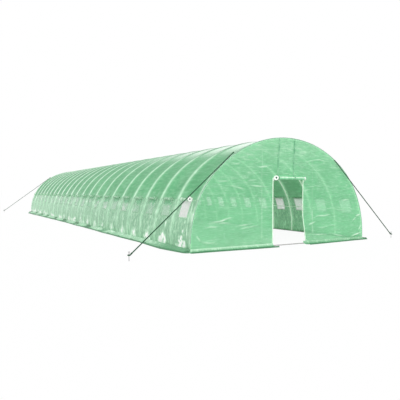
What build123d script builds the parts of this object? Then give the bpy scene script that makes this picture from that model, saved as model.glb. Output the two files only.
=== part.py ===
from build123d import *
import os
from math import cos, degrees, radians, sin

# Polytunnel greenhouse: a row of tube hoops under one arched cover, with
# mesh windows along both sides and a roll-up door in each end.
# Millimetres. The origin is at ground level in the middle of the plan,
# the tunnel runs along Y, and the front end faces -Y.

# Overall size of the cover
LENGTH = 22000.0
WIDTH = 6000.0
HEIGHT = 2850.0
BAY_COUNT = 22

# Arch outline: an upright foot, a haunch arc and a crown arc
FOOT_HEIGHT = 200.0
HAUNCH_ANGLE = 50.0
CROWN_ANGLE = 90.0

# Sheet thicknesses and fits
SHEET = 3.0
MESH_THICKNESS = 1.5
TAPE_THICKNESS = 2.0
GAP = 0.3
CUT_OVERRUN = 60.0

# Frame tubes; the hoop tubes are drawn with a few flats
HOOP_DIA = 38.0
HOOP_SIDES = 8
PURLIN_DIA = 25.0
RAIL_DIA = 25.0
POST_DIA = 25.0
POST_SPACING = 1800.0
PURLIN_GIRTH = 930.0

# Windows, one in each bay of both sides, measured along the sheet from the ground
WINDOW_SILL = 800.0
WINDOW_HEIGHT = 430.0
WINDOW_WIDTH = 400.0
WINDOW_HEAD_BAND = 50.0
MESH_LAP = 25.0
WINDOW_ROLL_DIA = 86.0
WINDOW_ROLL_SHEET = 9.0
WINDOW_ROLL_PITCH = 13.0
WINDOW_ROLL_LAP = 30.0
WINDOW_ROLL_HALF_TURNS = 2

# Doors, one in the middle of each end
DOOR_WIDTH = 1070.0
DOOR_HEIGHT = 1770.0
DOOR_ROLL_DIA = 96.0
DOOR_ROLL_SHEET = 7.0
DOOR_ROLL_PITCH = 11.0
DOOR_ROLL_LAP = 45.0
DOOR_ROLL_HALF_TURNS = 6
ROLL_RISE = 5.0
ZIP_WIDTH = 28.0
STRAP_WIDTH = 26.0
STRAP_TOP_DROP = 55.0
STRAP_TOP_SPACING = 530.0
STRAP_FOOT_SPACING = 560.0
STRAP_TOP_SHIFT = -65.0
STRAP_FOOT_SHIFT = -120.0

# Ground skirt
SKIRT_RISE = 80.0
SKIRT_BEND = 55.0
SIDE_SKIRT_WIDTH = 480.0
END_SKIRT_WIDTH = 320.0

# Guy ropes, and pegs that stand off the foot and the end of the cover
ROPE_DIA = 24.0
ROPE_TOP_GIRTH = 2800.0
ROPE_TOP_INSET = 60.0
KNOT_DIA = 68.0
PEG_DIA = 16.0
PEG_HEIGHT = 190.0
PEG_HEAD_DIA = 44.0
PEG_HEAD_HEIGHT = 10.0
PEG_ROPE_HEIGHT = 120.0
PEG_SPREAD = 1650.0
PEG_SPREAD_NEAR = 1100.0
PEG_REACH = 400.0
PEG_REACH_NEAR = 220.0

# The two arc radii follow from the width, the height and the junction angle
HALF_WIDTH = WIDTH / 2
HALF_LENGTH = LENGTH / 2
RISE = HEIGHT - FOOT_HEIGHT
HAUNCH_COS = cos(radians(HAUNCH_ANGLE))
HAUNCH_SIN = sin(radians(HAUNCH_ANGLE))
RADIUS_STEP = (HALF_WIDTH - RISE) / (HAUNCH_COS + HAUNCH_SIN - 1)
HAUNCH_RADIUS = HALF_WIDTH - RADIUS_STEP * HAUNCH_COS
CROWN_RADIUS = HAUNCH_RADIUS + RADIUS_STEP
HAUNCH_CENTRE_X = HALF_WIDTH - HAUNCH_RADIUS
CROWN_CENTRE_Z = HEIGHT - CROWN_RADIUS
HAUNCH_GIRTH = FOOT_HEIGHT + HAUNCH_RADIUS * radians(HAUNCH_ANGLE)
RIDGE_GIRTH = HAUNCH_GIRTH + CROWN_RADIUS * radians(CROWN_ANGLE - HAUNCH_ANGLE)

# Depths under the outside of the cover
MESH_INSET = SHEET + GAP
HOOP_INSET = SHEET + GAP + HOOP_DIA / 2
UNDER_HOOP = SHEET + GAP + HOOP_DIA + GAP
PURLIN_INSET = UNDER_HOOP + PURLIN_DIA / 2

# Places along Y
SHEET_HALF = HALF_LENGTH - SHEET
FRAME_HALF = SHEET_HALF - GAP
END_HOOP_Y = FRAME_HALF - HOOP_DIA / 2
HOOP_YS = [END_HOOP_Y * (2 * i / BAY_COUNT - 1) for i in range(BAY_COUNT + 1)]
BAY_YS = [(a + b) / 2 for a, b in zip(HOOP_YS, HOOP_YS[1:])]
LEG_X = HALF_WIDTH - HOOP_INSET


def arch_point(angle, inset):
    """Point (x, z) of the right half of the arch at a normal angle, at a depth under the cover."""
    turn = radians(angle)
    if angle <= HAUNCH_ANGLE:
        reach = HAUNCH_RADIUS - inset
        return HAUNCH_CENTRE_X + reach * cos(turn), FOOT_HEIGHT + reach * sin(turn)
    reach = CROWN_RADIUS - inset
    return reach * cos(turn), CROWN_CENTRE_Z + reach * sin(turn)


def girth_angle(girth):
    """Normal angle of the arch at a length along the cover from the ground."""
    if girth <= HAUNCH_GIRTH:
        return degrees((girth - FOOT_HEIGHT) / HAUNCH_RADIUS)
    return HAUNCH_ANGLE + degrees((girth - HAUNCH_GIRTH) / CROWN_RADIUS)


def at(point, y=0):
    return Vector(point[0], y, point[1])


def arch_arcs(start, stop, inset):
    """Edges of the arch between two normal angles, parted where the haunch meets the crown."""
    stations = [start, stop]
    if start < HAUNCH_ANGLE < stop:
        stations.insert(1, HAUNCH_ANGLE)
    return [
        ThreePointArc(*[at(arch_point(angle, inset)) for angle in (a, (a + b) / 2, b)])
        for a, b in zip(stations, stations[1:])
    ]


def closed_face(edges):
    return Face(Wire(edges))


def along_y(face, start, stop):
    """Solid from a face drawn at y = 0, drawn out along Y."""
    return Solid.extrude(face.moved(Location((0, start, 0))), Vector(0, stop - start, 0))


def block(x0, x1, y0, y1, z0, z1):
    corner = Location((x0, y0, z0))
    return Solid.make_box(x1 - x0, y1 - y0, z1 - z0).moved(corner)


def rod(start, stop, diameter):
    """Round bar between two points."""
    axis = stop - start
    return Solid.make_cylinder(diameter / 2, axis.length, Plane(start, z_dir=axis))


def left_of(solid):
    """The same piece on the left side."""
    return solid.mirror(Plane.YZ)


def rear_of(solid):
    """The same piece at the rear end."""
    return solid.mirror(Plane.XZ)


def solids_of(shape):
    return list(shape.solids())


def arc_band(start, stop, outer, inner):
    """Face between two depths of the arch, from one normal angle to another."""
    return closed_face([
        *arch_arcs(start, stop, outer),
        Line(at(arch_point(stop, outer)), at(arch_point(stop, inner))),
        *arch_arcs(start, stop, inner),
        Line(at(arch_point(start, inner)), at(arch_point(start, outer))),
    ])


def arch_outline(inset, bottom):
    """Whole arch as a closed face, from the ground or a height over it."""
    side = HALF_WIDTH - inset
    right = [
        Line(at((side, bottom)), at((side, FOOT_HEIGHT))),
        *arch_arcs(0, CROWN_ANGLE, inset),
    ]
    left = [edge.mirror(Plane.YZ) for edge in right]
    return closed_face(right + left + [Line(at((-side, bottom)), at((side, bottom)))])


def spiral_face(plane, diameter, sheet, pitch, half_turns):
    """Section of a rolled sheet: half circles that shrink by half the pitch each."""
    outer = []
    inner = []
    x = diameter / 2
    side = 1
    for turn in range(half_turns):
        radius = diameter / 2 - turn * pitch / 2
        centre = x - side * radius
        for edges, reach in ((outer, radius), (inner, radius - sheet)):
            edges.append(ThreePointArc(
                Vector(centre + side * reach, 0),
                Vector(centre, side * reach),
                Vector(centre - side * reach, 0),
            ))
        x = centre - side * radius
        side = -side
    caps = [
        Line(outer[0] @ 0, inner[0] @ 0),
        Line(outer[-1] @ 1, inner[-1] @ 1),
    ]
    return closed_face(outer + inner + caps).moved(plane.location)


# Cover: sides up to a band over the windows, then three equal roof strips each side

WINDOW_TOP = WINDOW_SILL + WINDOW_HEIGHT
SIDE_GIRTH = WINDOW_TOP + WINDOW_HEAD_BAND
SIDE_ANGLE = girth_angle(SIDE_GIRTH)
STRIP_NAMES = ["haunch", "shoulder", "crown"]
STRIP_GIRTH = (RIDGE_GIRTH - SIDE_GIRTH) / len(STRIP_NAMES)
STRIP_ANGLES = {
    name: (
        girth_angle(SIDE_GIRTH + i * STRIP_GIRTH),
        girth_angle(SIDE_GIRTH + (i + 1) * STRIP_GIRTH),
    )
    for i, name in enumerate(STRIP_NAMES)
}


def roof_strip(name):
    start, stop = STRIP_ANGLES[name]
    return along_y(arc_band(start, stop, 0, SHEET), -SHEET_HALF, SHEET_HALF)


def side_sheet():
    """Upright foot and lower haunch, with a window cut through in each bay."""
    inner_x = HALF_WIDTH - SHEET
    outline = closed_face([
        Line(at((HALF_WIDTH, 0)), at((HALF_WIDTH, FOOT_HEIGHT))),
        *arch_arcs(0, SIDE_ANGLE, 0),
        Line(at(arch_point(SIDE_ANGLE, 0)), at(arch_point(SIDE_ANGLE, SHEET))),
        *arch_arcs(0, SIDE_ANGLE, SHEET),
        Line(at((inner_x, FOOT_HEIGHT)), at((inner_x, 0))),
        Line(at((inner_x, 0)), at((HALF_WIDTH, 0))),
    ])
    sheet = along_y(outline, -SHEET_HALF, SHEET_HALF)
    hole = arc_band(
        girth_angle(WINDOW_SILL), girth_angle(WINDOW_TOP), -CUT_OVERRUN, CUT_OVERRUN
    )
    half = WINDOW_WIDTH / 2
    return sheet.cut(*[along_y(hole, y - half, y + half) for y in BAY_YS])


def window_meshes():
    """Net patches sewn behind the window openings."""
    sill = girth_angle(WINDOW_SILL - MESH_LAP)
    head = girth_angle(WINDOW_TOP + MESH_LAP)
    patch = arc_band(sill, head, MESH_INSET, MESH_INSET + MESH_THICKNESS)
    half = WINDOW_WIDTH / 2 + MESH_LAP
    return [along_y(patch, y - half, y + half) for y in BAY_YS]


def window_rolls():
    """Window flaps rolled up over their openings, each seated square on the sheet."""
    angle = girth_angle(WINDOW_TOP + ROLL_RISE)
    x, z = arch_point(angle, -GAP - WINDOW_ROLL_DIA / 2)
    inward = (-cos(radians(angle)), 0, -sin(radians(angle)))
    plane = Plane((x, 0, z), x_dir=inward, z_dir=(0, 1, 0))
    section = spiral_face(
        plane, WINDOW_ROLL_DIA, WINDOW_ROLL_SHEET, WINDOW_ROLL_PITCH, WINDOW_ROLL_HALF_TURNS
    )
    half = WINDOW_WIDTH / 2 + WINDOW_ROLL_LAP
    return [along_y(section, y - half, y + half) for y in BAY_YS]


# Ends: a sheet beside and over each doorway, with the door rolled up above it

HALF_DOOR = DOOR_WIDTH / 2


def end_sheets():
    """Front wall as two sides and the sheet over the door."""
    wall = along_y(arch_outline(0, 0), -HALF_LENGTH, -SHEET_HALF)
    front = -HALF_LENGTH - CUT_OVERRUN
    back = -SHEET_HALF + CUT_OVERRUN
    right = wall.intersect(block(HALF_DOOR, WIDTH, front, back, -HEIGHT, 2 * HEIGHT))
    over = wall.intersect(block(-HALF_DOOR, HALF_DOOR, front, back, DOOR_HEIGHT, 2 * HEIGHT))
    right_solid = solids_of(right)[0]
    return left_of(right_solid), right_solid, solids_of(over)[0]


ROLL_Z = DOOR_HEIGHT + ROLL_RISE
TAPE_BACK = -HALF_LENGTH - GAP
TAPE_FRONT = TAPE_BACK - TAPE_THICKNESS


def door_roll():
    """Door sheet rolled up across the head of the doorway, open at its ends."""
    half = HALF_DOOR + DOOR_ROLL_LAP
    centre = (-half, TAPE_BACK - DOOR_ROLL_DIA / 2, ROLL_Z)
    plane = Plane(centre, x_dir=(0, 1, 0), z_dir=(1, 0, 0))
    section = spiral_face(
        plane, DOOR_ROLL_DIA, DOOR_ROLL_SHEET, DOOR_ROLL_PITCH, DOOR_ROLL_HALF_TURNS
    )
    return Solid.extrude(section, Vector(2 * half, 0, 0))


def zip_tape():
    """Zip tape up the right jamb, as far as the roll."""
    top = ROLL_Z - DOOR_ROLL_DIA / 2 - GAP
    return block(HALF_DOOR, HALF_DOOR + ZIP_WIDTH, TAPE_FRONT, TAPE_BACK, SKIRT_RISE + GAP, top)


def door_strap(side):
    """Flat tie from under the crown down to the top of the roll; the pair leans to the left."""
    top_x = side * STRAP_TOP_SPACING / 2 + STRAP_TOP_SHIFT
    foot_x = side * STRAP_FOOT_SPACING / 2 + STRAP_FOOT_SHIFT
    top_z = HEIGHT - STRAP_TOP_DROP
    foot_z = ROLL_Z + DOOR_ROLL_DIA / 2 + GAP
    half = STRAP_WIDTH / 2
    corners = [
        (foot_x - half, foot_z),
        (foot_x + half, foot_z),
        (top_x + half, top_z),
        (top_x - half, top_z),
    ]
    face = closed_face(Polyline(*[at(corner) for corner in corners], close=True).edges())
    return along_y(face, TAPE_FRONT, TAPE_BACK)


# Ground skirt: the foot of the cover turned out onto the ground


def skirt_edges(base, width, place):
    """Bent strip standing against a wall face, as edges placed by a function of (out, up)."""
    bend = SKIRT_BEND
    inner = bend - SHEET
    slant = sin(radians(45))
    outer_mid = bend * (1 - slant)
    inner_mid = bend - inner * slant

    def spot(out, up):
        return place(base + out, up)

    return [
        Line(spot(0, SKIRT_RISE), spot(0, bend)),
        ThreePointArc(spot(0, bend), spot(outer_mid, outer_mid), spot(bend, 0)),
        Line(spot(bend, 0), spot(width, 0)),
        Line(spot(width, 0), spot(width, SHEET)),
        Line(spot(width, SHEET), spot(bend, SHEET)),
        ThreePointArc(spot(bend, SHEET), spot(inner_mid, inner_mid), spot(SHEET, bend)),
        Line(spot(SHEET, bend), spot(SHEET, SKIRT_RISE)),
        Line(spot(SHEET, SKIRT_RISE), spot(0, SKIRT_RISE)),
    ]


def side_skirt():
    edges = skirt_edges(HALF_WIDTH + GAP, SIDE_SKIRT_WIDTH, lambda out, up: Vector(out, 0, up))
    return along_y(closed_face(edges), -HALF_LENGTH, HALF_LENGTH)


def end_skirt():
    """Front skirt right of the doorway."""
    edges = skirt_edges(
        HALF_LENGTH + GAP, END_SKIRT_WIDTH, lambda out, up: Vector(HALF_DOOR, -out, up)
    )
    return Solid.extrude(closed_face(edges), Vector(HALF_WIDTH - HALF_DOOR, 0, 0))


# Frame: hoops of butted tubes, purlins under them, rails on the ground, end posts

HOOP_ANGLES = {"lower": (0.0, SIDE_ANGLE), **STRIP_ANGLES}
RAIL_Z = RAIL_DIA / 2


def hoop_tube(name):
    """One tube of the right half of a hoop; the lowest one includes the upright leg."""
    start, stop = HOOP_ANGLES[name]
    edges = arch_arcs(start, stop, HOOP_INSET)
    if name == "lower":
        leg = Line(Vector(LEG_X, 0, RAIL_DIA + GAP), Vector(LEG_X, 0, FOOT_HEIGHT))
        edges.insert(0, leg)
    outward = (cos(radians(start)), 0, sin(radians(start)))
    plane = Plane(edges[0] @ 0, x_dir=outward, z_dir=edges[0] % 0)
    half_step = 180 / HOOP_SIDES
    section = RegularPolygon(HOOP_DIA / 2, HOOP_SIDES, major_radius=False, rotation=half_step)
    return Solid.sweep((plane * section).face(), Wire(edges))


def hoop_row(name):
    tube = hoop_tube(name)
    return [tube.moved(Location((0, y, 0))) for y in HOOP_YS]


def purlin(angle):
    x, z = arch_point(angle, PURLIN_INSET)
    return rod(Vector(x, -FRAME_HALF, z), Vector(x, FRAME_HALF, z), PURLIN_DIA)


def side_rail():
    return rod(Vector(LEG_X, -FRAME_HALF, RAIL_Z), Vector(LEG_X, FRAME_HALF, RAIL_Z), RAIL_DIA)


def end_rail():
    """Front rail between the side rails; it is the threshold of the doorway."""
    reach = LEG_X - RAIL_DIA / 2 - GAP
    return rod(Vector(-reach, -END_HOOP_Y, RAIL_Z), Vector(reach, -END_HOOP_Y, RAIL_Z), RAIL_DIA)


def end_post():
    """Front post right of the doorway, cut to the underside of the end hoop."""
    x = POST_SPACING / 2
    post = rod(Vector(x, -END_HOOP_Y, RAIL_DIA + GAP), Vector(x, -END_HOOP_Y, HEIGHT), POST_DIA)
    inside = along_y(arch_outline(UNDER_HOOP, 0), -HALF_LENGTH, HOOP_DIA - END_HOOP_Y)
    return solids_of(post.intersect(inside))[0]


# Guy ropes, each from a knot by an end hoop to a peg in the ground


def roof_knot():
    """Middle of a knot that lies on the roof near the front edge of the cover."""
    x, z = arch_point(girth_angle(ROPE_TOP_GIRTH), -GAP - KNOT_DIA / 2)
    return Vector(x, -HALF_LENGTH + ROPE_TOP_INSET, z)


def wall_knot():
    """Middle of a knot that lies on the front wall, under the edge of the arch."""
    x, z = arch_point(girth_angle(ROPE_TOP_GIRTH), KNOT_DIA / 2)
    return Vector(x, TAPE_BACK - KNOT_DIA / 2, z)


def guy_rope(top, spread, reach):
    """Right front rope: knot, taut rope and a loop round the peg."""
    loop_radius = PEG_DIA / 2 + GAP + ROPE_DIA / 2
    peg = Vector(HALF_WIDTH + spread, -HALF_LENGTH - reach, PEG_ROPE_HEIGHT)
    flat = Vector(top.X - peg.X, top.Y - peg.Y, 0).normalized()
    foot = peg + flat * loop_radius
    knot = Solid.make_sphere(KNOT_DIA / 2, angle1=-CROWN_ANGLE).moved(Location(top))
    loop_foot = peg - Vector(0, 0, ROPE_DIA / 2)
    loop_top = peg + Vector(0, 0, ROPE_DIA / 2)
    eye = rod(loop_foot, loop_top, PEG_DIA + 2 * GAP)
    loop = rod(loop_foot, loop_top, PEG_DIA + 2 * GAP + 2 * ROPE_DIA)
    rope = rod(top, foot, ROPE_DIA).fuse(knot, loop).cut(eye)
    return solids_of(rope)[0]


def ground_peg(spread, reach):
    """Steel peg, from the ground up, with a flat head over the rope's loop."""
    foot = Vector(HALF_WIDTH + spread, -HALF_LENGTH - reach, 0)
    shank = rod(foot, foot + Vector(0, 0, PEG_HEIGHT), PEG_DIA)
    head_foot = foot + Vector(0, 0, PEG_HEIGHT - PEG_HEAD_HEIGHT)
    head = rod(head_foot, foot + Vector(0, 0, PEG_HEIGHT), PEG_HEAD_DIA)
    return solids_of(shank.fuse(head))[0]


def at_corners(far, near):
    """Four corners; the peg at the right front corner stands nearer than the others."""
    return [left_of(far), near, rear_of(left_of(far)), rear_of(far)]


def both_sides(solid):
    return [left_of(solid), solid]


def both_ends(solids):
    return solids + [rear_of(solid) for solid in solids]


def build_nodes():
    nodes = {}
    for name in STRIP_ANGLES:
        strip = roof_strip(name)
        nodes[f"roof_{name}_right"] = [strip]
        nodes[f"roof_{name}_left"] = [left_of(strip)]

    sheet = solids_of(side_sheet())[0]
    sided = {
        "side_sheet": [sheet],
        "window_meshes": window_meshes(),
        "window_rolls": window_rolls(),
        "skirt": [side_skirt()],
        "side_purlin": [purlin(girth_angle(PURLIN_GIRTH))],
    }
    for name in HOOP_ANGLES:
        sided[f"hoops_{name}"] = hoop_row(name)
    for name, solids in sided.items():
        nodes[f"{name}_right"] = solids
        nodes[f"{name}_left"] = [left_of(solid) for solid in solids]

    left_wall, right_wall, over_wall = end_sheets()
    ended = {
        "wall_left": [left_wall],
        "wall_right": [right_wall],
        "wall_over_door": [over_wall],
        "door_roll": [door_roll()],
        "skirt": both_sides(end_skirt()),
    }
    for name, solids in ended.items():
        nodes[f"front_{name}"] = solids
        nodes[f"rear_{name}"] = [rear_of(solid) for solid in solids]

    nodes["ridge_purlin"] = [purlin(CROWN_ANGLE)]
    nodes["base_rails_side"] = both_sides(side_rail())
    nodes["base_rails_end"] = both_ends([end_rail()])
    nodes["end_posts"] = both_ends(both_sides(end_post()))
    nodes["door_zips"] = both_ends(both_sides(zip_tape()))
    nodes["door_straps"] = both_ends([door_strap(-1), door_strap(1)])
    nodes["guy_ropes"] = at_corners(
        guy_rope(roof_knot(), PEG_SPREAD, PEG_REACH),
        guy_rope(wall_knot(), PEG_SPREAD_NEAR, PEG_REACH_NEAR),
    )
    nodes["ground_pegs"] = at_corners(
        ground_peg(PEG_SPREAD, PEG_REACH), ground_peg(PEG_SPREAD_NEAR, PEG_REACH_NEAR)
    )
    return nodes


def main():
    os.makedirs("parts", exist_ok=True)
    for name, solids in build_nodes().items():
        shape = solids[0] if len(solids) == 1 else Compound(solids)
        export_step(shape, f"parts/{name}.step")


main()
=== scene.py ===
import math

import bpy
import numpy as np
from bpy.props import FloatProperty, FloatVectorProperty, IntProperty, PointerProperty
from mathutils import Matrix, Vector


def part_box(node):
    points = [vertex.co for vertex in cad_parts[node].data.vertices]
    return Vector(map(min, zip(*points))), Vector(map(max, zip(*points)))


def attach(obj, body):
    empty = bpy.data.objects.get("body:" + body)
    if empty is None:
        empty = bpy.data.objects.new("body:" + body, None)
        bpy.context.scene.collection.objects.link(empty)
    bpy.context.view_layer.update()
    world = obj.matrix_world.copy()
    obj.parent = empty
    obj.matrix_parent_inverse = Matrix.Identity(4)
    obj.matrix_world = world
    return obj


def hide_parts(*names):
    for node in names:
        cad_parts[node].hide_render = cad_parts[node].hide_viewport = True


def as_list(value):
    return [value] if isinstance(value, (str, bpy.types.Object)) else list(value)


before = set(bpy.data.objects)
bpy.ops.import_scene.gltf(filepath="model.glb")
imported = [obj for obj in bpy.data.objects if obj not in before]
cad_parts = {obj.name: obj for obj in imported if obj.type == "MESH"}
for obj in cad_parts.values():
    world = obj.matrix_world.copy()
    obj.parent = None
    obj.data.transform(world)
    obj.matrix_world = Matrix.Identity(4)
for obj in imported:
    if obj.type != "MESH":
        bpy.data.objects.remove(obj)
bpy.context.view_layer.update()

bl_info = {
    "name": "Polytunnel greenhouse",
    "version": (1, 0, 0),
    "blender": (4, 5, 0),
    "location": "3D View > Sidebar > Polytunnel",
    "description": "Film cover, windows, doors, frame fittings and guy ropes of a polytunnel greenhouse",
    "category": "Object",
}

# Building, from the frame
WALL_LOW, WALL_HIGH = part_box("front_wall_right")
HALF_WIDTH = WALL_HIGH.x
HALF_LENGTH = -WALL_LOW.y
HALF_DOOR = WALL_LOW.x
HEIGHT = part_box("front_wall_over_door")[1].z
DOOR_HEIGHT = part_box("front_wall_over_door")[0].z
SIDE_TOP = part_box("side_sheet_right")[1].z
ROLL_LOW, ROLL_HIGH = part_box("front_door_roll")
ROLL_Z = (ROLL_LOW.z + ROLL_HIGH.z) / 2
SKIRT_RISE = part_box("skirt_right")[1].z
SIDE_SKIRT_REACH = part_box("skirt_right")[1].x - HALF_WIDTH
END_SKIRT_REACH = -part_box("front_skirt")[0].y - HALF_LENGTH
HOOP_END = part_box("hoops_crown_right")[1].y
LEG_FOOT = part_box("hoops_lower_right")[0].z
PEG_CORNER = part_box("ground_pegs")[1]
ZIP_LOW, ZIP_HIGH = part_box("door_zips")
STRAP_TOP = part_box("door_straps")[1].z

# Arch outline and places that the boxes don't give, in metres
FOOT_HEIGHT = 0.2
HAUNCH_ANGLE = math.radians(50)
BAY_COUNT = 22
HOOP_RADIUS = 0.019
HOOP_INSET = 0.0033
PURLIN_RADIUS = 0.0125
PURLIN_GIRTH = 0.93
FILM_THICKNESS = 0.003
WINDOW_SILL = 0.8
WINDOW_TOP = 1.23
WINDOW_WIDTH = 0.4
WINDOW_ROLL_GIRTH = 1.235
POST_X = 0.9
PEG_HEAD_RADIUS = 0.022
PEG_RADIUS = 0.008
NEAR_PEG = (4.1, 0.22)
ROPE_TOP_GIRTH = 2.8
ROPE_TOP_INSET = 0.06
ROPE_FOOT_HEIGHT = 0.12
KNOT_RADIUS = 0.034
STRAP_TOPS = (-0.33, 0.2)
STRAP_FEET = (-0.4, 0.16)

# The arcs follow from the outline, as in the frame
RISE = HEIGHT - FOOT_HEIGHT
RADIUS_STEP = (HALF_WIDTH - RISE) / (math.cos(HAUNCH_ANGLE) + math.sin(HAUNCH_ANGLE) - 1)
HAUNCH_RADIUS = HALF_WIDTH - RADIUS_STEP * math.cos(HAUNCH_ANGLE)
CROWN_RADIUS = HAUNCH_RADIUS + RADIUS_STEP
HAUNCH_X = HALF_WIDTH - HAUNCH_RADIUS
CROWN_Z = HEIGHT - CROWN_RADIUS
HAUNCH_GIRTH = FOOT_HEIGHT + HAUNCH_RADIUS * HAUNCH_ANGLE
RIDGE_GIRTH = HAUNCH_GIRTH + CROWN_RADIUS * (math.pi / 2 - HAUNCH_ANGLE)
SIDE_GIRTH = FOOT_HEIGHT + HAUNCH_RADIUS * math.asin((SIDE_TOP - FOOT_HEIGHT) / HAUNCH_RADIUS)
END_HOOP_Y = HOOP_END - HOOP_RADIUS
BAY = 2 * END_HOOP_Y / BAY_COUNT
FILM_HALF = HALF_LENGTH - FILM_THICKNESS / 2
PEG_SPREAD = PEG_CORNER.x - PEG_HEAD_RADIUS
PEG_REACH = PEG_CORNER.y - PEG_HEAD_RADIUS - HALF_LENGTH

# Paleness of the film: 0 is its own colour, and these are pale green, hem white and deep green. Pale marks
# are partly paler film and partly painted highlights; the deep green is painted shade, and marks below 0
# darken towards it
PALE, WHITE, PAINTED_SHADE = 1.0, 2.0, -1.0

# Gap between the cover and what hangs on it, and limits used when meshes are built
WALL_GAP = 0.004
TAPE_THICKNESS = 0.0016
MERGE_DISTANCE = 0.0001
SHARP_EDGE = math.radians(40)
ROUND_EDGE = math.radians(60)

# Grid of the side film: lines on every hoop and on the edges of every window
BAY_COLUMNS = 40
WINDOW_COLUMNS = 16
SIDE_COLUMNS = BAY_COUNT * BAY_COLUMNS + 2
SILL_ROWS, WINDOW_ROWS, HEAD_ROWS = 30, 16, 2
SIDE_ROWS = SILL_ROWS + WINDOW_ROWS + HEAD_ROWS
ROOF_COLUMNS = 16
ROOF_ROWS = 90

# Grid of an end wall: lines on the edges of the doorway
DOOR_COLUMNS = 44
OUTER_COLUMNS = 144
WALL_ROWS = 168
DOOR_ROWS = 104


# Shapes shared by the pieces


def arch_at(girth):
    """Points and outward normals of the cover, by length along it from the left ground edge."""
    girth = np.asarray(girth, float)
    side = np.where(girth <= RIDGE_GIRTH, -1.0, 1.0)
    run = np.where(girth <= RIDGE_GIRTH, girth, 2 * RIDGE_GIRTH - girth)
    haunch = np.clip((run - FOOT_HEIGHT) / HAUNCH_RADIUS, 0, HAUNCH_ANGLE)
    turn = haunch + np.clip((run - HAUNCH_GIRTH) / CROWN_RADIUS, 0, None)
    crown = run > HAUNCH_GIRTH
    x = np.where(crown, CROWN_RADIUS * np.cos(turn), HAUNCH_X + HAUNCH_RADIUS * np.cos(turn))
    low = FOOT_HEIGHT + HAUNCH_RADIUS * np.sin(turn) + np.minimum(run - FOOT_HEIGHT, 0)
    z = np.where(crown, CROWN_Z + CROWN_RADIUS * np.sin(turn), low)
    return side * x, z, side * np.cos(turn), np.sin(turn)


def arch_point(girth):
    """One point and its outward normal, as plain numbers."""
    return tuple(float(value) for value in arch_at(girth))


def arch_height(x):
    """Height of the cover over a distance from the middle of the plan."""
    x = np.minimum(np.abs(np.asarray(x, float)), HALF_WIDTH)
    junction = CROWN_RADIUS * math.cos(HAUNCH_ANGLE)
    crown = CROWN_Z + np.sqrt(np.maximum(CROWN_RADIUS**2 - x**2, 0))
    reach = np.maximum(HAUNCH_RADIUS**2 - np.maximum(x - HAUNCH_X, 0) ** 2, 0)
    return np.where(x <= junction, crown, FOOT_HEIGHT + np.sqrt(reach))


def bay_share(y):
    """How far a point is from the nearest hoop: 0 on a hoop, 1 in the middle of a bay."""
    return 1 - np.abs(((y + END_HOOP_Y) / BAY) % 1 * 2 - 1)


def from_bay_middle(y):
    """Distance along the tunnel from the middle of the bay."""
    return (((y + END_HOOP_Y) / BAY) % 1 - 0.5) * BAY


def bay_columns(u):
    """Places along the tunnel with grid lines on each hoop and on the edges of each window."""
    index = u * SIDE_COLUMNS - 1
    bay = np.clip(np.floor(index / BAY_COLUMNS + 1e-6), 0, BAY_COUNT - 1)
    margin = (BAY_COLUMNS - WINDOW_COLUMNS) / 2
    stops = [0, margin, margin + WINDOW_COLUMNS, BAY_COLUMNS]
    places = [0, (BAY - WINDOW_WIDTH) / 2, (BAY + WINDOW_WIDTH) / 2, BAY]
    y = -END_HOOP_Y + bay * BAY + np.interp(index - bay * BAY_COLUMNS, stops, places)
    y = np.where(index < -0.5, -FILM_HALF, y)
    return np.where(index > BAY_COUNT * BAY_COLUMNS + 0.5, FILM_HALF, y)


def side_rows(v):
    """Lengths along the side film with grid lines on the sill and the head of the windows."""
    stops = [0, SILL_ROWS, SILL_ROWS + WINDOW_ROWS, SIDE_ROWS]
    return np.interp(v * SIDE_ROWS, stops, [0, WINDOW_SILL, WINDOW_TOP, SIDE_GIRTH])


# Factors of the sine that gives crumple its fixed pseudo-random values
HASH_COLUMN, HASH_ROW, HASH_SEED, HASH_SCALE = 127.1, 311.7, 74.7, 43758.5453


def crumple(u, v, seed):
    """Smooth pseudo-random relief from -1 to 1, the same on each run; each use has its own seed."""
    column, row = np.floor(u), np.floor(v)
    a, b = u - column, v - row
    a, b = a * a * (3 - 2 * a), b * b * (3 - 2 * b)

    def knot(i, j):
        turn = (column + i) * HASH_COLUMN + (row + j) * HASH_ROW + seed * HASH_SEED
        wave = np.sin(turn) * HASH_SCALE
        return wave - np.floor(wave)

    low = knot(0, 0) * (1 - a) + knot(1, 0) * a
    high = knot(0, 1) * (1 - a) + knot(1, 1) * a
    return (low * (1 - b) + high * b) * 2 - 1


def crest(relief, sharpness):
    """Narrow ridges where a relief passes through zero."""
    return np.clip(1 - np.abs(relief), 0, 1) ** sharpness


def smooth_step(low, high, value):
    """Eased share from 0 to 1 as a value goes from low to high."""
    t = np.clip((value - low) / (high - low), 0, 1)
    return t * t * (3 - 2 * t)


def roll_section(share, outer, inner, turns, lap, flare, lap_share):
    """Rolled flap in section, from its hung edge inwards: distance off the wall, height and turn."""
    wound = np.clip((share - lap_share) / (1 - lap_share), 0, 1)
    angle = 2 * math.pi * turns * wound
    radius = outer - (outer - inner) * wound + flare
    hang = lap * np.clip(1 - share / lap_share, 0, 1)
    return outer + flare - radius * np.cos(angle), hang - radius * np.sin(angle), angle


# Modelling helpers


def deselect_all():
    if bpy.context.object and bpy.context.object.mode != "OBJECT":
        bpy.ops.object.mode_set(mode="OBJECT")
    bpy.ops.object.select_all(action="DESELECT")


def work_on(obj):
    deselect_all()
    obj.select_set(True)
    bpy.context.view_layer.objects.active = obj


def apply_all_modifiers(obj):
    work_on(obj)
    for modifier in list(obj.modifiers):
        bpy.ops.object.modifier_apply(modifier=modifier.name)


def apply_place(obj):
    work_on(obj)
    bpy.ops.object.transform_apply(location=True, rotation=True, scale=True)


def named(obj, name):
    obj.name = obj.data.name = name
    return obj


def join(pieces, name):
    work_on(pieces[0])
    for piece in pieces:
        piece.select_set(True)
    bpy.ops.object.join()
    return named(pieces[0], name)


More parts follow.
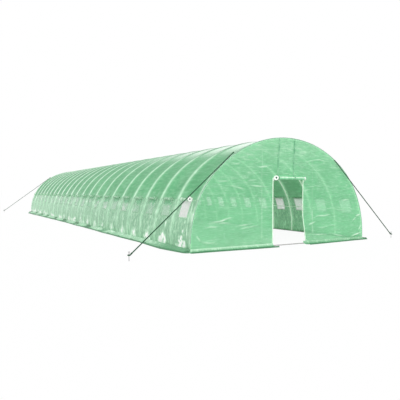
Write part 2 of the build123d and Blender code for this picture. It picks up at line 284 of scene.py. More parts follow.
def edit_whole(obj):
    """Edit mode with all of a piece selected."""
    work_on(obj)
    bpy.ops.object.mode_set(mode="EDIT")
    bpy.ops.mesh.select_all(action="SELECT")


def close_shell(obj):
    """Merges doubles, closes open ends and points the faces outwards."""
    edit_whole(obj)
    bpy.ops.mesh.remove_doubles(threshold=MERGE_DISTANCE)
    bpy.ops.mesh.fill_holes(sides=0)
    bpy.ops.mesh.select_all(action="SELECT")
    bpy.ops.mesh.normals_make_consistent(inside=False)
    bpy.ops.object.mode_set(mode="OBJECT")
    return obj


def bevelled(obj, width, segments=1):
    """Applies the size and place of a piece and bevels its edges."""
    apply_place(obj)
    edit_whole(obj)
    bpy.ops.mesh.bevel(offset=width, segments=segments)
    bpy.ops.object.mode_set(mode="OBJECT")
    return obj


def rounded_box(size, place, bevel, segments=1, turn=0.0):
    """Box with bevelled edges, turned about the tunnel's length."""
    deselect_all()
    bpy.ops.mesh.primitive_cube_add(size=1, location=place, rotation=(0, turn, 0))
    box = bpy.context.object
    box.scale = size
    return bevelled(box, bevel, segments)


def smooth(obj, angle):
    work_on(obj)
    bpy.ops.object.shade_smooth_by_angle(angle=angle)
    return obj


def sheet_grid(name, columns, rows, place):
    """Grid of film: place(u, v) gives x, y, z, metric film coordinates and paleness per point."""
    deselect_all()
    bpy.ops.mesh.primitive_grid_add(x_subdivisions=columns, y_subdivisions=rows, size=1)
    obj = named(bpy.context.object, name)
    mesh = obj.data
    flat = np.empty(len(mesh.vertices) * 3)
    mesh.vertices.foreach_get("co", flat)
    flat = flat.reshape(-1, 3)
    x, y, z, along, up, pale = place(flat[:, 0] + 0.5, flat[:, 1] + 0.5)
    mesh.vertices.foreach_set("co", np.stack([x, y, z], 1).ravel())
    pale_layer = mesh.attributes.new("pale", "FLOAT", "POINT")
    pale_layer.data.foreach_set("value", np.broadcast_to(pale, x.shape).astype(np.float32))
    corner = np.empty(len(mesh.loops), int)
    mesh.loops.foreach_get("vertex_index", corner)
    film = mesh.uv_layers.active or mesh.uv_layers.new()
    film.name = "film"
    film.data.foreach_set("uv", np.stack([along[corner], up[corner]], 1).ravel())
    mesh.update()
    bpy.ops.object.shade_smooth()
    return obj


def delete_faces(obj, unwanted):
    """Deletes the faces whose film coordinates fall where unwanted(along, up) says."""
    work_on(obj)
    mesh = obj.data
    uv = np.empty(len(mesh.loops) * 2)
    mesh.uv_layers["film"].data.foreach_get("uv", uv)
    middle = uv.reshape(-1, 4, 2).mean(1)
    bpy.ops.object.mode_set(mode="EDIT")
    bpy.ops.mesh.select_mode(type="FACE")
    bpy.ops.mesh.select_all(action="DESELECT")
    bpy.ops.object.mode_set(mode="OBJECT")
    mesh.polygons.foreach_set("select", unwanted(middle[:, 0], middle[:, 1]))
    bpy.ops.object.mode_set(mode="EDIT")
    bpy.ops.mesh.delete(type="FACE")
    bpy.ops.object.mode_set(mode="OBJECT")
    return obj


def point_outwards(obj, outward):
    """Turns the faces if they look the wrong way; outward(centre) gives the right direction."""
    mesh = obj.data
    face = mesh.polygons[len(mesh.polygons) // 2]
    if face.normal.dot(outward(face.center)) < 0:
        mesh.flip_normals()
    return obj


def thicken(obj, thickness, offset=0.0):
    wall = obj.modifiers.new("wall", "SOLIDIFY")
    wall.thickness = thickness
    wall.offset = offset
    apply_all_modifiers(obj)
    return obj


def reshape(obj, move):
    """Moves the points of a piece by a function of x, y, z arrays."""
    mesh = obj.data
    flat = np.empty(len(mesh.vertices) * 3)
    mesh.vertices.foreach_get("co", flat)
    mesh.vertices.foreach_set("co", np.stack(move(*flat.reshape(-1, 3).T), 1).ravel())
    mesh.update()
    return obj


def repaint(obj, change):
    """Changes the paleness of a piece by a function of it and of the place along the tunnel."""
    mesh = obj.data
    flat = np.empty(len(mesh.vertices) * 3)
    mesh.vertices.foreach_get("co", flat)
    pale = np.empty(len(mesh.vertices))
    layer = mesh.attributes["pale"].data
    layer.foreach_get("value", pale)
    layer.foreach_set("value", change(pale, flat.reshape(-1, 3)[:, 1]))


def copied(obj, name, matrix):
    """Copy with its own mesh, moved by a matrix; a mirrored copy has its faces turned back."""
    copy = obj.copy()
    copy.data = obj.data.copy()
    bpy.context.collection.objects.link(copy)
    copy.data.transform(matrix)
    if matrix.determinant() < 0:
        copy.data.flip_normals()
    return named(copy, name)


TO_RIGHT = Matrix.Scale(-1, 4, Vector((1, 0, 0)))
TO_REAR = Matrix.Scale(-1, 4, Vector((0, 1, 0)))


def repeat_along(obj, count, step, axis=1):
    """Row of copies along the tunnel, or along another axis."""
    row = obj.modifiers.new("row", "ARRAY")
    row.count = count
    row.use_relative_offset = False
    row.use_constant_offset = True
    row.constant_offset_displace = [step if i == axis else 0 for i in range(3)]
    apply_all_modifiers(obj)
    return obj


def sheet_area(obj):
    return sum(face.area for face in obj.data.polygons)


def settle(obj, finish, slot, replaced=()):
    """Gives a finished piece its material and body, and hides the nodes that it stands for; slot is not
    used.
    """
    obj.data.materials.clear()
    obj.data.materials.append(finish)
    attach(obj, "root")
    if replaced:
        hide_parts(*replaced)
    return obj


def finish_node(name, finish):
    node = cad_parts[name]
    node.data.materials.clear()
    node.data.materials.append(finish)


# Materials


class Finish:
    """A node material under construction."""

    def __init__(self, name):
        self.material = bpy.data.materials.new(name)
        self.material.use_nodes = True
        self.tree = self.material.node_tree
        self.tree.nodes.clear()
        self.output = self.node("ShaderNodeOutputMaterial")

    def node(self, kind, settings=None, **inputs):
        made = self.tree.nodes.new(kind)
        for name, value in (settings or {}).items():
            setattr(made, name, value)
        for name, value in inputs.items():
            self.feed(made.inputs[name.replace("_", " ")], value)
        return made

    def feed(self, socket, value):
        if isinstance(value, bpy.types.NodeSocket):
            self.tree.links.new(value, socket)
        else:
            socket.default_value = value

    def math(self, operation, *values):
        made = self.node("ShaderNodeMath", {"operation": operation})
        for socket, value in zip(made.inputs, values):
            self.feed(socket, value)
        return made.outputs[0]

    def times(self, first, second):
        return self.math("MULTIPLY", first, second)

    def plus(self, first, second):
        return self.math("ADD", first, second)

    def film_place(self):
        return self.node("ShaderNodeUVMap", {"uv_map": "film"}).outputs[0]

    def object_place(self):
        return self.node("ShaderNodeTexCoord").outputs["Object"]

    def paleness(self):
        return self.node("ShaderNodeAttribute", {"attribute_name": "pale"}).outputs["Fac"]

    def noise(self, vector, scale, detail=3.0, roughness=0.55):
        made = self.node(
            "ShaderNodeTexNoise", Vector=vector, Scale=scale, Detail=detail, Roughness=roughness
        )
        return made.outputs["Fac"]

    def bands(self, vector, direction, scale):
        made = self.node("ShaderNodeTexWave", {"bands_direction": direction}, Vector=vector, Scale=scale)
        return made.outputs["Fac"]

    def stretch(self, vector, scale):
        return self.node("ShaderNodeMapping", Vector=vector, Scale=scale).outputs[0]

    def ramp(self, value, low, high, start=0.0, stop=1.0):
        made = self.node("ShaderNodeMapRange", {"interpolation_type": "SMOOTHSTEP"}, Value=value)
        limits = {"From Min": low, "From Max": high, "To Min": start, "To Max": stop}
        for name, number in limits.items():
            made.inputs[name].default_value = number
        return made.outputs[0]

    def blend(self, share, first, second):
        made = self.node("ShaderNodeMix", {"data_type": "RGBA"})
        colours = [socket for socket in made.inputs if socket.type == "RGBA"]
        self.feed(made.inputs["Factor"], share)
        self.feed(colours[0], first)
        self.feed(colours[1], second)
        return next(socket for socket in made.outputs if socket.type == "RGBA")

    def bump(self, height, distance, strength=1.0, under=None):
        made = self.node("ShaderNodeBump", Height=height, Distance=distance, Strength=strength)
        if under is not None:
            self.feed(made.inputs["Normal"], under)
        return made.outputs[0]

    def mix(self, share, first, second):
        made = self.node("ShaderNodeMixShader")
        self.feed(made.inputs[0], share)
        self.tree.links.new(first, made.inputs[1])
        self.tree.links.new(second, made.inputs[2])
        return made.outputs[0]

    def skin(self, tint, normal, roughness):
        made = self.node("ShaderNodeBsdfPrincipled", Base_Color=tint, Normal=normal)
        self.feed(made.inputs["Roughness"], roughness)
        return made

    def done(self, shader):
        self.tree.links.new(shader, self.output.inputs["Surface"])
        return self.material


def opaque(values):
    return (*values, 1.0)


def dimmed(values, factor):
    return [value * factor for value in values]


def scaled(values, factor):
    return opaque(dimmed(values, factor))


# Start and end, along the tunnel, of each change in the look of the roof
BANDS_NARROW = (-6.0, 8.0)
BANDS_PALE = (-9.0, 4.0)
ROOF_DARKENS = (-5.0, 8.0)
CREST_HIGHLIGHT_FADES = (-10.5, -1.0)
RIDGE_SHADE_GROWS = (-8.0, -2.0)
# Edges of the strip of painted shade and weaker gloss along the ridge, by distance from it
RIDGE_STRIP = (1.0, 0.72)
# Edges of the painted shade line on a hoop and of the painted highlight on the crest beside it, by distance
# from the hoop
SHADE_LINE_EDGE = (0.06, 0.13)
HIGHLIGHT_EDGE = (0.1, 0.18)


def film_finish(
        name, body, settings, streaks, whitening, shade, see_through, hoop_lines=0.0, crest_gloss=False):
    """Woven film: weave, crinkles, paler creases, and light and sight through it.

    streaks is the fineness of the crinkles along and up the film, whitening is the strength of its pale
    crinkles, which are partly paler film and partly painted highlights, shade that of the painted shade in
    its dark crinkles, and hoop_lines that of the pale bands over the hoops, which are partly pressed film
    and partly painted highlights. With crest_gloss the roof also gets a glossy crest with a painted
    highlight, painted shade lines on the hoops there and a strip of painted shade along the ridge.
    """
    f = Finish(name)
    film = f.film_place()
    along, girth = f.node("ShaderNodeSeparateXYZ", Vector=film).outputs[:2]
    crease = f.paleness()
    cloud = f.noise(film, 0.9, 4.0)
    crinkle = f.noise(f.stretch(film, streaks), 1.0, 5.0, 0.62)
    thin = f.noise(f.stretch(film, [3.2 * value for value in streaks]), 1.0, 4.0, 0.6)
    fine = f.noise(film, 24.0, 4.0, 0.65)
    # Pale crinkles: partly paler film, partly painted highlights
    lines = f.plus(f.ramp(crinkle, 0.5, 0.7, 0.0, whitening), f.ramp(thin, 0.5, 0.66, 0.0, whitening))
    whitened = f.math("MAXIMUM", f.plus(crease, lines), 0.0)
    glow_share = settings.glow_share
    gloss = settings.film_gloss
    tone = f.blend(f.ramp(cloud, 0.3, 0.7), scaled(body, 0.88), scaled(body, 1.06))
    # Painted shade in the dark crinkles
    tone = f.blend(f.ramp(thin, 0.48, 0.34, 0.0, shade), tone, scaled(body, 0.55))
    # Painted light: the light let through is paler along the pale marks, and more so over the hoops
    lit = f.times(whitened, 0.16)
    if hoop_lines:
        wander = f.times(f.math("SUBTRACT", crinkle, 0.5), settings.hoop_wander)
        place = f.plus(f.plus(along, END_HOOP_Y), wander)
        off_hoop = f.math("PINGPONG", place, BAY / 2)
        off_hoop = f.times(off_hoop, f.ramp(along, *BANDS_NARROW, 1.0, 0.68))
        # Pale band over each hoop: partly paler pressed film, partly a painted highlight
        halo = f.ramp(off_hoop, 0.03, settings.hoop_band, hoop_lines * 0.45, 0.0)
        core = f.ramp(off_hoop, 0.02, settings.hoop_band * 0.5, hoop_lines * 0.9, 0.0)
        uneven = f.ramp(f.noise(film, 5.0, 3.0), 0.3, 0.6, 0.55, 1.0)
        pressed_and_highlight = f.plus(halo, f.times(core, uneven))
        lit = f.plus(lit, f.times(pressed_and_highlight, 0.45 if crest_gloss else 1.8))
        if crest_gloss:
            pressed_and_highlight = f.times(pressed_and_highlight, f.ramp(along, *BANDS_PALE, 0.78, 1.3))
            tone = f.blend(f.ramp(along, *ROOF_DARKENS, 0.0, 0.5), tone, scaled(body, 0.6))
            # Painted highlight along the crest beside each hoop, fading out along the tunnel, with painted
            # shade lines on the hoops there
            from_ridge = f.math("ABSOLUTE", f.math("SUBTRACT", girth, RIDGE_GIRTH))
            crest_share = f.ramp(from_ridge, settings.crest_half, settings.crest_half * 0.55)
            highlight_falloff = f.ramp(along, *CREST_HIGHLIGHT_FADES, 1.0, 0.0)
            crest_share = f.times(crest_share, highlight_falloff)
            painted_line = f.times(f.ramp(off_hoop, *SHADE_LINE_EDGE, 1.0, 0.0), crest_share)
            bright = f.times(crest_share, f.ramp(off_hoop, *HIGHLIGHT_EDGE))
            pressed_and_highlight = f.times(pressed_and_highlight, f.math("SUBTRACT", 1.0, crest_share))
            pressed_and_highlight = f.plus(pressed_and_highlight, f.times(bright, settings.crest_highlight))
            tone = f.blend(painted_line, tone, scaled(settings.welt_and_shade_grey, 0.6))
            # Painted shade in a strip along the far part of the ridge, where the gloss is also weaker
            ridge = f.times(f.ramp(from_ridge, *RIDGE_STRIP), f.ramp(along, *RIDGE_SHADE_GROWS, 0.0, 0.5))
            tone = f.blend(ridge, tone, scaled(settings.welt_and_shade_grey, 0.7))
            pressed_and_highlight = f.times(pressed_and_highlight, f.math("SUBTRACT", 1.0, ridge))
            dulled = f.times(f.math("SUBTRACT", 1.0, f.times(ridge, 1.9)), gloss)
            gloss = f.plus(f.times(bright, 1.0 - gloss), dulled)
            glow_share = f.times(f.math("SUBTRACT", 1.0, bright), settings.glow_share)
        whitened = f.plus(whitened, pressed_and_highlight)
    tint = f.blend(f.math("MINIMUM", whitened, PALE), tone, opaque(settings.pale_green))
    tint = f.blend(f.ramp(whitened, PALE, WHITE), tint, opaque(settings.hem_white))
    tint = f.blend(f.ramp(crease, 0.0, PAINTED_SHADE), tint, opaque(settings.painted_shade_green))
    weave = f.plus(f.bands(film, "X", settings.weave_scale), f.bands(film, "Y", settings.weave_scale))
    relief = f.bump(crinkle, settings.crinkle_depth)
    relief = f.bump(thin, settings.crinkle_depth * 0.4, 0.8, relief)
    relief = f.bump(fine, 0.002, 0.5, relief)
    relief = f.bump(weave, 0.0004, 0.4, relief)
    skin = f.skin(tint, relief, settings.film_roughness)
    f.feed(skin.inputs["Coat Weight"], gloss)
    skin.inputs["Coat Roughness"].default_value = settings.gloss_roughness
    skin.inputs["Specular IOR Level"].default_value = 0.2 if crest_gloss else 0.5
    through = f.blend(lit, opaque(settings.inner_green), opaque(settings.pale_green))
    glow = f.node("ShaderNodeBsdfTranslucent", Color=through, Normal=relief)
    clear = f.node("ShaderNodeBsdfTransparent")
    clear.inputs["Color"].default_value = opaque(settings.see_through_tint)
    glow_share = f.times(f.ramp(whitened, PALE, WHITE, 1.0, 0.1), glow_share)
    body_shader = f.mix(glow_share, skin.outputs[0], glow.outputs[0])
    sight = f.ramp(whitened, 0.0, PALE, see_through, see_through * 0.4)
    sight = f.times(f.ramp(crease, 0.0, -0.5, 1.0, 0.5), sight)
    return f.done(f.mix(sight, body_shader, clear.outputs[0]))


def net_finish(settings):
    """Fine insect net: white threads with gaps between them, denser where it is pale."""
    f = Finish("insect_net")
    film = f.film_place()
    dense = f.paleness()
    threads = [f.bands(film, direction, settings.net_scale) for direction in ("X", "Y")]
    thread = f.math("MAXIMUM", *threads)
    openness = f.ramp(dense, 0.0, 1.0, settings.net_gap_share, settings.net_gap_share * 0.2)
    gap = f.times(f.ramp(thread, 0.35, 0.7, 1.0, 0.0), openness)
    cloud = f.noise(film, 14.0)
    share = f.plus(f.times(dense, 0.85), f.ramp(cloud, 0.5, 0.8, 0.0, 0.4))
    tint = f.blend(share, opaque(settings.net_shade), opaque(settings.net_white))
    skin = f.skin(tint, f.bump(thread, 0.0006), 0.7)
    glow = f.node("ShaderNodeBsdfTranslucent", Color=tint)
    clear = f.node("ShaderNodeBsdfTransparent")
    body = f.mix(0.5, skin.outputs[0], glow.outputs[0])
    return f.done(f.mix(gap, body, clear.outputs[0]))


def webbing_finish(name, body, pale, scale, direction="Z"):
    """Narrow woven tape with ribs across it and soft wear."""
    f = Finish(name)
    place = f.object_place()
    cloud = f.noise(place, 9.0, 4.0)
    ribs = f.bands(place, direction, scale)
    tint = f.blend(f.ramp(cloud, 0.35, 0.7), opaque(body), opaque(pale))
    tint = f.blend(f.ramp(ribs, 0.0, 1.0, 0.15, 0.0), tint, scaled(body, 0.6))
    return f.done(f.skin(tint, f.bump(ribs, 0.0006, 0.7), 0.6).outputs[0])


def steel_finish(name, dull, bright, metallic):
    """Galvanised steel: spangle, dull patches and fine drawing marks."""
    f = Finish(name)
    place = f.object_place()
    spangle = f.node("ShaderNodeTexVoronoi", Vector=place, Scale=70.0).outputs["Color"]
    grey = f.node("ShaderNodeSeparateColor", Color=spangle).outputs[0]
    patch = f.noise(place, 5.0, 4.0)
    share = f.times(f.plus(grey, f.ramp(patch, 0.3, 0.7)), 0.5)
    tint = f.blend(share, opaque(dull), opaque(bright))
    marks = f.noise(f.stretch(place, (60.0, 4.0, 60.0)), 1.0, 2.0)
    skin = f.skin(tint, f.bump(marks, 0.0005, 0.5), f.ramp(patch, 0.3, 0.7, 0.38, 0.55))
    skin.inputs["Metallic"].default_value = metallic
    return f.done(skin.outputs[0])


def rope_finish(settings):
    """Dark twisted rope with paler fibres along its strands."""
    f = Finish("twisted_rope")
    place = f.object_place()
    fibre = f.noise(place, 240.0)
    dust = f.noise(place, 6.0)
    tint = f.blend(fibre, opaque(settings.rope_dark), opaque(settings.rope_pale))
    tint = f.blend(f.ramp(dust, 0.45, 0.8, 0.0, 0.35), tint, opaque(settings.rope_pale))
    return f.done(f.skin(tint, f.bump(fibre, 0.001), 0.75).outputs[0])


# Settings


class FilmSettings(bpy.types.PropertyGroup):
    roof_sag: FloatProperty(
        name="Roof sag", description="How far the roof film dips between hoops",
        default=0.035, unit="LENGTH")
    side_fold: FloatProperty(
        name="Side folds", description="Depth of the upright folds in the side film",
        default=0.014, unit="LENGTH")
    wall_ripple: FloatProperty(
        name="Wall ripples", description="Depth of the ripples in the end walls",
        default=0.009, unit="LENGTH")
    crinkle_depth: FloatProperty(
        name="Crinkle depth", description="Depth of the fine crinkles in the film",
        default=0.006, unit="LENGTH")
    weave_scale: FloatProperty(
        name="Weave scale", description="Fineness of the woven grid in the film", default=52.0)
    # The band over a hoop is partly paler pressed film and partly a painted highlight
    hoop_band: FloatProperty(
        name="Hoop band", description="Half width of the pale band over a hoop",
        default=0.19, unit="LENGTH")
    hoop_wander: FloatProperty(
        name="Hoop band wander", description="How far the edges of the pale bands wander",
        default=0.05, unit="LENGTH")
    crest_half: FloatProperty(
        name="Crest half width", description="How far the glossy crest of the roof reaches from the ridge",
        default=2.02, unit="LENGTH")
    # Strength of the painted highlight along the crest of the roof
    crest_highlight: FloatProperty(
        name="Crest whitening", description="How pale the film is along the crest", default=0.72)
    film_roughness: FloatProperty(
        name="Film roughness", description="Roughness of the film", default=0.45)
    film_gloss: FloatProperty(
        name="Film gloss", description="Strength of the film's clear sheen", default=0.25)
    gloss_roughness: FloatProperty(
        name="Gloss roughness", description="Roughness of the film's clear sheen", default=0.14)
    glow_share: FloatProperty(
        name="Glow share", description="Share of the light that comes through the film", default=0.3)
    roof_clear: FloatProperty(
        name="Roof clearness", description="Share of sight through the roof", default=0.04)
    wall_clear: FloatProperty(
        name="Wall clearness", description="Share of sight through the end walls", default=0.4)
    see_through_tint: FloatVectorProperty(
        name="See-through tint", description="Colour of things seen through the film",
        subtype="COLOR", default=(0.9, 1.0, 0.91))
    roof_green: FloatVectorProperty(
        name="Roof green", description="Colour of the roof film", subtype="COLOR",
        default=(0.14, 0.5, 0.23))
    wall_green: FloatVectorProperty(
        name="Wall green", description="Colour of the end walls", subtype="COLOR",
        default=(0.33, 0.89, 0.49))
    side_green: FloatVectorProperty(
        name="Side green", description="Colour of the side film", subtype="COLOR",
        default=(0.27, 0.55, 0.34))
    skirt_green: FloatVectorProperty(
        name="Skirt green", description="Colour of the ground skirts", subtype="COLOR",
        default=(0.22, 0.54, 0.3))
    # Pale green is also the colour of painted highlights: over the hoops, along the roof's crest and in
    # part of the crinkles
    pale_green: FloatVectorProperty(
        name="Pale green", description="Colour of creased or stretched film", subtype="COLOR",
        default=(0.64, 0.96, 0.71))
    # Hem white is also the colour of the painted highlights on the crumpled patches at the side film's foot
    # and on the door roll
    hem_white: FloatVectorProperty(
        name="Hem white", description="Colour of hems and sharp creases", subtype="COLOR",
        default=(0.95, 0.95, 0.93))
    inner_green: FloatVectorProperty(
        name="Inner green", description="Colour of the light that comes through the film", subtype="COLOR",
        default=(0.06, 0.33, 0.13))
    # The deep green is the colour of painted shade: along the skirts' outer edges and at the hoops there,
    # in the hollow cores of the rolls, beside the wall's creases and towards its foot
    painted_shade_green: FloatVectorProperty(
        name="Deep green", description="Colour of folded edges on the ground", subtype="COLOR",
        default=(0.015, 0.085, 0.035))
    # Welt is also the colour of the painted shade lines and strip near the roof's crest
    welt_and_shade_grey: FloatVectorProperty(
        name="Welt", description="Colour of the welt along the arched edges", subtype="COLOR",
        default=(0.2, 0.36, 0.26))


class WindowSettings(bpy.types.PropertyGroup):
    roll_radius: FloatProperty(
        name="Roll radius", description="Radius of a rolled-up window flap", default=0.036, unit="LENGTH")
    roll_core: FloatProperty(
        name="Roll core", description="Radius of the hollow in a rolled-up flap",
        default=0.013, unit="LENGTH")
    roll_turns: FloatProperty(
        name="Roll turns", description="Turns in a rolled-up window flap", default=2.4)
    roll_lap: FloatProperty(
        name="Roll lap", description="How far a roll reaches past its window", default=0.02, unit="LENGTH")
    flare: FloatProperty(
        name="End flare", description="How far a roll opens out at its ends", default=0.006, unit="LENGTH")
    first_flare: FloatProperty(
        name="First flare", description="How much wider the first roll is at its front end", default=0.45)
    tie_width: FloatProperty(
        name="Tie width", description="Width of the ties round a roll", default=0.016, unit="LENGTH")
    tie_spacing: FloatProperty(
        name="Tie spacing", description="Distance between the two ties of a roll",
        default=0.24, unit="LENGTH")
    net_lap: FloatProperty(
        name="Net lap", description="How far the net reaches behind the film", default=0.025, unit="LENGTH")
    net_scale: FloatProperty(
        name="Net scale", description="Fineness of the insect net", default=90.0)
    net_gap_share: FloatProperty(
        name="Net gap share", description="How open the gaps of the net are", default=0.55)
    net_white: FloatVectorProperty(
        name="Net white", description="Colour of the net", subtype="COLOR", default=(0.97, 0.89, 0.94))
    net_shade: FloatVectorProperty(
        name="Net shade", description="Darker threads of the net", subtype="COLOR",
        default=(0.26, 0.6, 0.36))


class DoorSettings(bpy.types.PropertyGroup):
    roll_radius: FloatProperty(
        name="Roll radius", description="Radius of the rolled-up door", default=0.04, unit="LENGTH")
    roll_core: FloatProperty(
        name="Roll core", description="Radius of the hollow in the rolled-up door",
        default=0.009, unit="LENGTH")
    roll_turns: FloatProperty(
        name="Roll turns", description="Turns in the rolled-up door", default=10.6)
    roll_ends: FloatVectorProperty(
        name="Roll ends", description="Left and right end of the rolled-up door", size=2,
        default=(-0.5, 0.55), unit="LENGTH")
    flare: FloatProperty(
        name="End flare", description="How far the roll opens out at its ends", default=0.02, unit="LENGTH")
    ring_core: FloatProperty(
        name="Ring core", description="Radius of the hole in the roll's open end",
        default=0.026, unit="LENGTH")
    ring_turn: FloatProperty(
        name="Ring turn", description="How far the roll's open end is turned to the front", default=0.55)
    hem: FloatProperty(
        name="Hem", description="Width of the roll's white hems", default=0.035, unit="LENGTH")
    tooth_pitch: FloatProperty(
        name="Zip tooth pitch", description="Distance between zip teeth", default=0.012, unit="LENGTH")
    tape_cream: FloatVectorProperty(
        name="Zip tape", description="Colour of the zip tapes", subtype="COLOR",
        default=(0.6, 0.78, 0.6))
    tooth_white: FloatVectorProperty(
        name="Zip teeth", description="Colour of the zip teeth", subtype="COLOR",
        default=(0.78, 0.8, 0.72))
    strap_width: FloatProperty(
        name="Strap width", description="Width of a door strap", default=0.036, unit="LENGTH")
    strap_green: FloatVectorProperty(
        name="Strap", description="Colour of the door straps", subtype="COLOR",
        default=(0.1, 0.34, 0.18))


class FrameSettings(bpy.types.PropertyGroup):
    tube_sides: IntProperty(
        name="Tube sides", description="Faces round a hoop tube", default=12, min=6)
    sleeve_length: FloatProperty(
        name="Sleeve length", description="Length of the joint sleeves on the hoops",
        default=0.11, unit="LENGTH")
    sleeve_wall: FloatProperty(
        name="Sleeve wall", description="How far a sleeve stands off its tube",
        default=0.0016, unit="LENGTH")
    clamp_size: FloatVectorProperty(
        name="Clamp size", description="Width, length and thickness of a purlin clamp",
        default=(0.05, 0.036, 0.004), unit="LENGTH")
    zinc_bright: FloatVectorProperty(
        name="Bright zinc", description="Colour of bright zinc", subtype="COLOR",
        default=(0.93, 1.0, 0.91))
    zinc_dull: FloatVectorProperty(
        name="Dull zinc", description="Colour of dull zinc", subtype="COLOR",
        default=(0.88, 0.98, 0.86))
    post_shade: FloatProperty(
        name="Post shade", description="How bright the end posts are beside the hoops", default=0.55)
    rail_grey: FloatVectorProperty(
        name="Rail grey", description="Colour of the rails and pegs on the ground", subtype="COLOR",
        default=(0.42, 0.41, 0.41))


class StaySettings(bpy.types.PropertyGroup):
    rope_radius: FloatProperty(
        name="Rope radius", description="Radius of a guy rope", default=0.0145, unit="LENGTH")
    strand_count: IntProperty(
        name="Strands", description="Strands in a guy rope", default=3, min=2)
    lay_length: FloatProperty(
        name="Lay length", description="Length of one turn of a strand", default=0.09, unit="LENGTH")
    rope_dark: FloatVectorProperty(
        name="Rope", description="Colour of the guy ropes", subtype="COLOR", default=(0.005, 0.045, 0.017))
    rope_pale: FloatVectorProperty(
        name="Rope fibres", description="Paler fibres of the ropes", subtype="COLOR",
        default=(0.02, 0.1, 0.045))


class StageSettings(bpy.types.PropertyGroup):
    camera_place: FloatVectorProperty(
        name="Camera", description="Where the camera stands", subtype="XYZ", unit="LENGTH",
        default=(-7.724, -19.298, 1.389))
    camera_yaw: FloatProperty(
        name="Yaw", description="Turn of the camera from +Y", subtype="ANGLE", default=-0.540)
    camera_pitch: FloatProperty(
        name="Pitch", description="Tilt of the camera from level", subtype="ANGLE", default=-0.018)
    camera_roll: FloatProperty(
        name="Roll", description="Roll of the camera", subtype="ANGLE", default=0.005)
    camera_lens: FloatProperty(
        name="Lens", description="Focal length in millimetres on a 36 mm sensor", default=37.44)
    sky_strength: FloatProperty(
        name="Sky", description="Strength of the soft light from all round", default=0.6)
    key_strength: FloatProperty(
        name="Key", description="Strength of the soft key light", default=1.6)
    fill_strength: FloatProperty(
        name="Fill", description="Strength of the shadowless fill light from the front", default=0.95)
    floor_white: FloatProperty(
        name="Floor white", description="Share of plain white in the floor as the camera sees it",
        default=0.94)
    floor_radius: FloatProperty(
        name="Floor radius", description="Radius of the floor", default=160.0, unit="LENGTH")


# Film cover

ROOF_LAP = 0.03
LAP_FADE = 0.35
LAP_FRAY = 0.14
SIDE_SLACK = 0.014


def roof_place(settings):
    """Roof film over the hoops, dipping between them, with a hem over the side film."""
    start = SIDE_GIRTH - ROOF_LAP
    stop = 2 * RIDGE_GIRTH - start
    columns = BAY_COUNT * ROOF_COLUMNS

    def place(u, v):
        y = np.interp(
            u * (columns + 2) - 1, [-1, 0, columns, columns + 1],
            [-FILM_HALF, -END_HOOP_Y, END_HOOP_Y, FILM_HALF])
        girth = start + v * (stop - start)
        bay = np.where(np.abs(y) > END_HOOP_Y, 0, bay_share(y))
        height = 1 - np.abs(girth - RIDGE_GIRTH) / RIDGE_GIRTH
        dip = settings.roof_sag * (0.6 + 0.4 * height) * (1 - (1 - bay) ** 2)
        loose = 0.004 * crumple(y * 3.1, girth * 1.7, 3) + 0.002 * crumple(y * 9.0, girth * 4.0, 5)
        hem = FILM_THICKNESS * smooth_step(0.05, 0.0, np.minimum(girth - start, stop - girth))
        x, z, nx, nz = arch_at(girth)
        low = np.minimum(girth, 2 * RIDGE_GIRTH - girth)
        lapped = smooth_step(LAP_FADE, 0.0, low - start)
        on_side = side_lift(settings, y, low) + FILM_THICKNESS
        lift = (loose * bay - dip) * (1 - lapped) + on_side * lapped + hem
        fray = low - start + LAP_FRAY * crumple(y * 8.0, low * 2.0, 6) - LAP_FRAY * (1 - bay)
        return x + nx * lift, y, z + nz * lift, y, girth, 0.15 * smooth_step(0.16, 0.0, fray)

    return place


def side_lift(settings, y, girth):
    """How far the side film stands off the arch: upright folds, slack between hoops."""
    bay = np.where(np.abs(y) > END_HOOP_Y, 0, bay_share(y))
    fold = 0.6 * crumple(y * 9.5, girth * 1.9, 11) + 0.4 * crumple(y * 21.0, girth * 3.4, 12)
    slack = crumple(y * 2.2, girth * 2.4, 13)
    foot = smooth_step(0.35, 0.0, girth)
    calm = smooth_step(0.0, 0.2, bay)
    lift = settings.side_fold * fold * (0.3 + 0.7 * calm) * (0.7 + 0.6 * foot)
    lift = lift - SIDE_SLACK * calm * (0.6 + 0.4 * slack)
    return np.where(bay < 0.06, np.abs(lift) * 0.4, lift)


def two_bays(y):
    """Wave along the tunnel, with a crest on every other hoop."""
    return np.cos(np.pi * (y + END_HOOP_Y) / BAY + 0.9 * crumple(y * 0.8, 0 * y, 47))


def side_shade(y, girth):
    """Greener top of the side film and its windows, frayed along its lower edge."""
    frayed = girth + 0.07 * crumple(y * 9.0, girth * 2.0, 46)
    return smooth_step(1.02, 1.15, frayed - 0.2 * smooth_step(-4.0, 6.0, y))


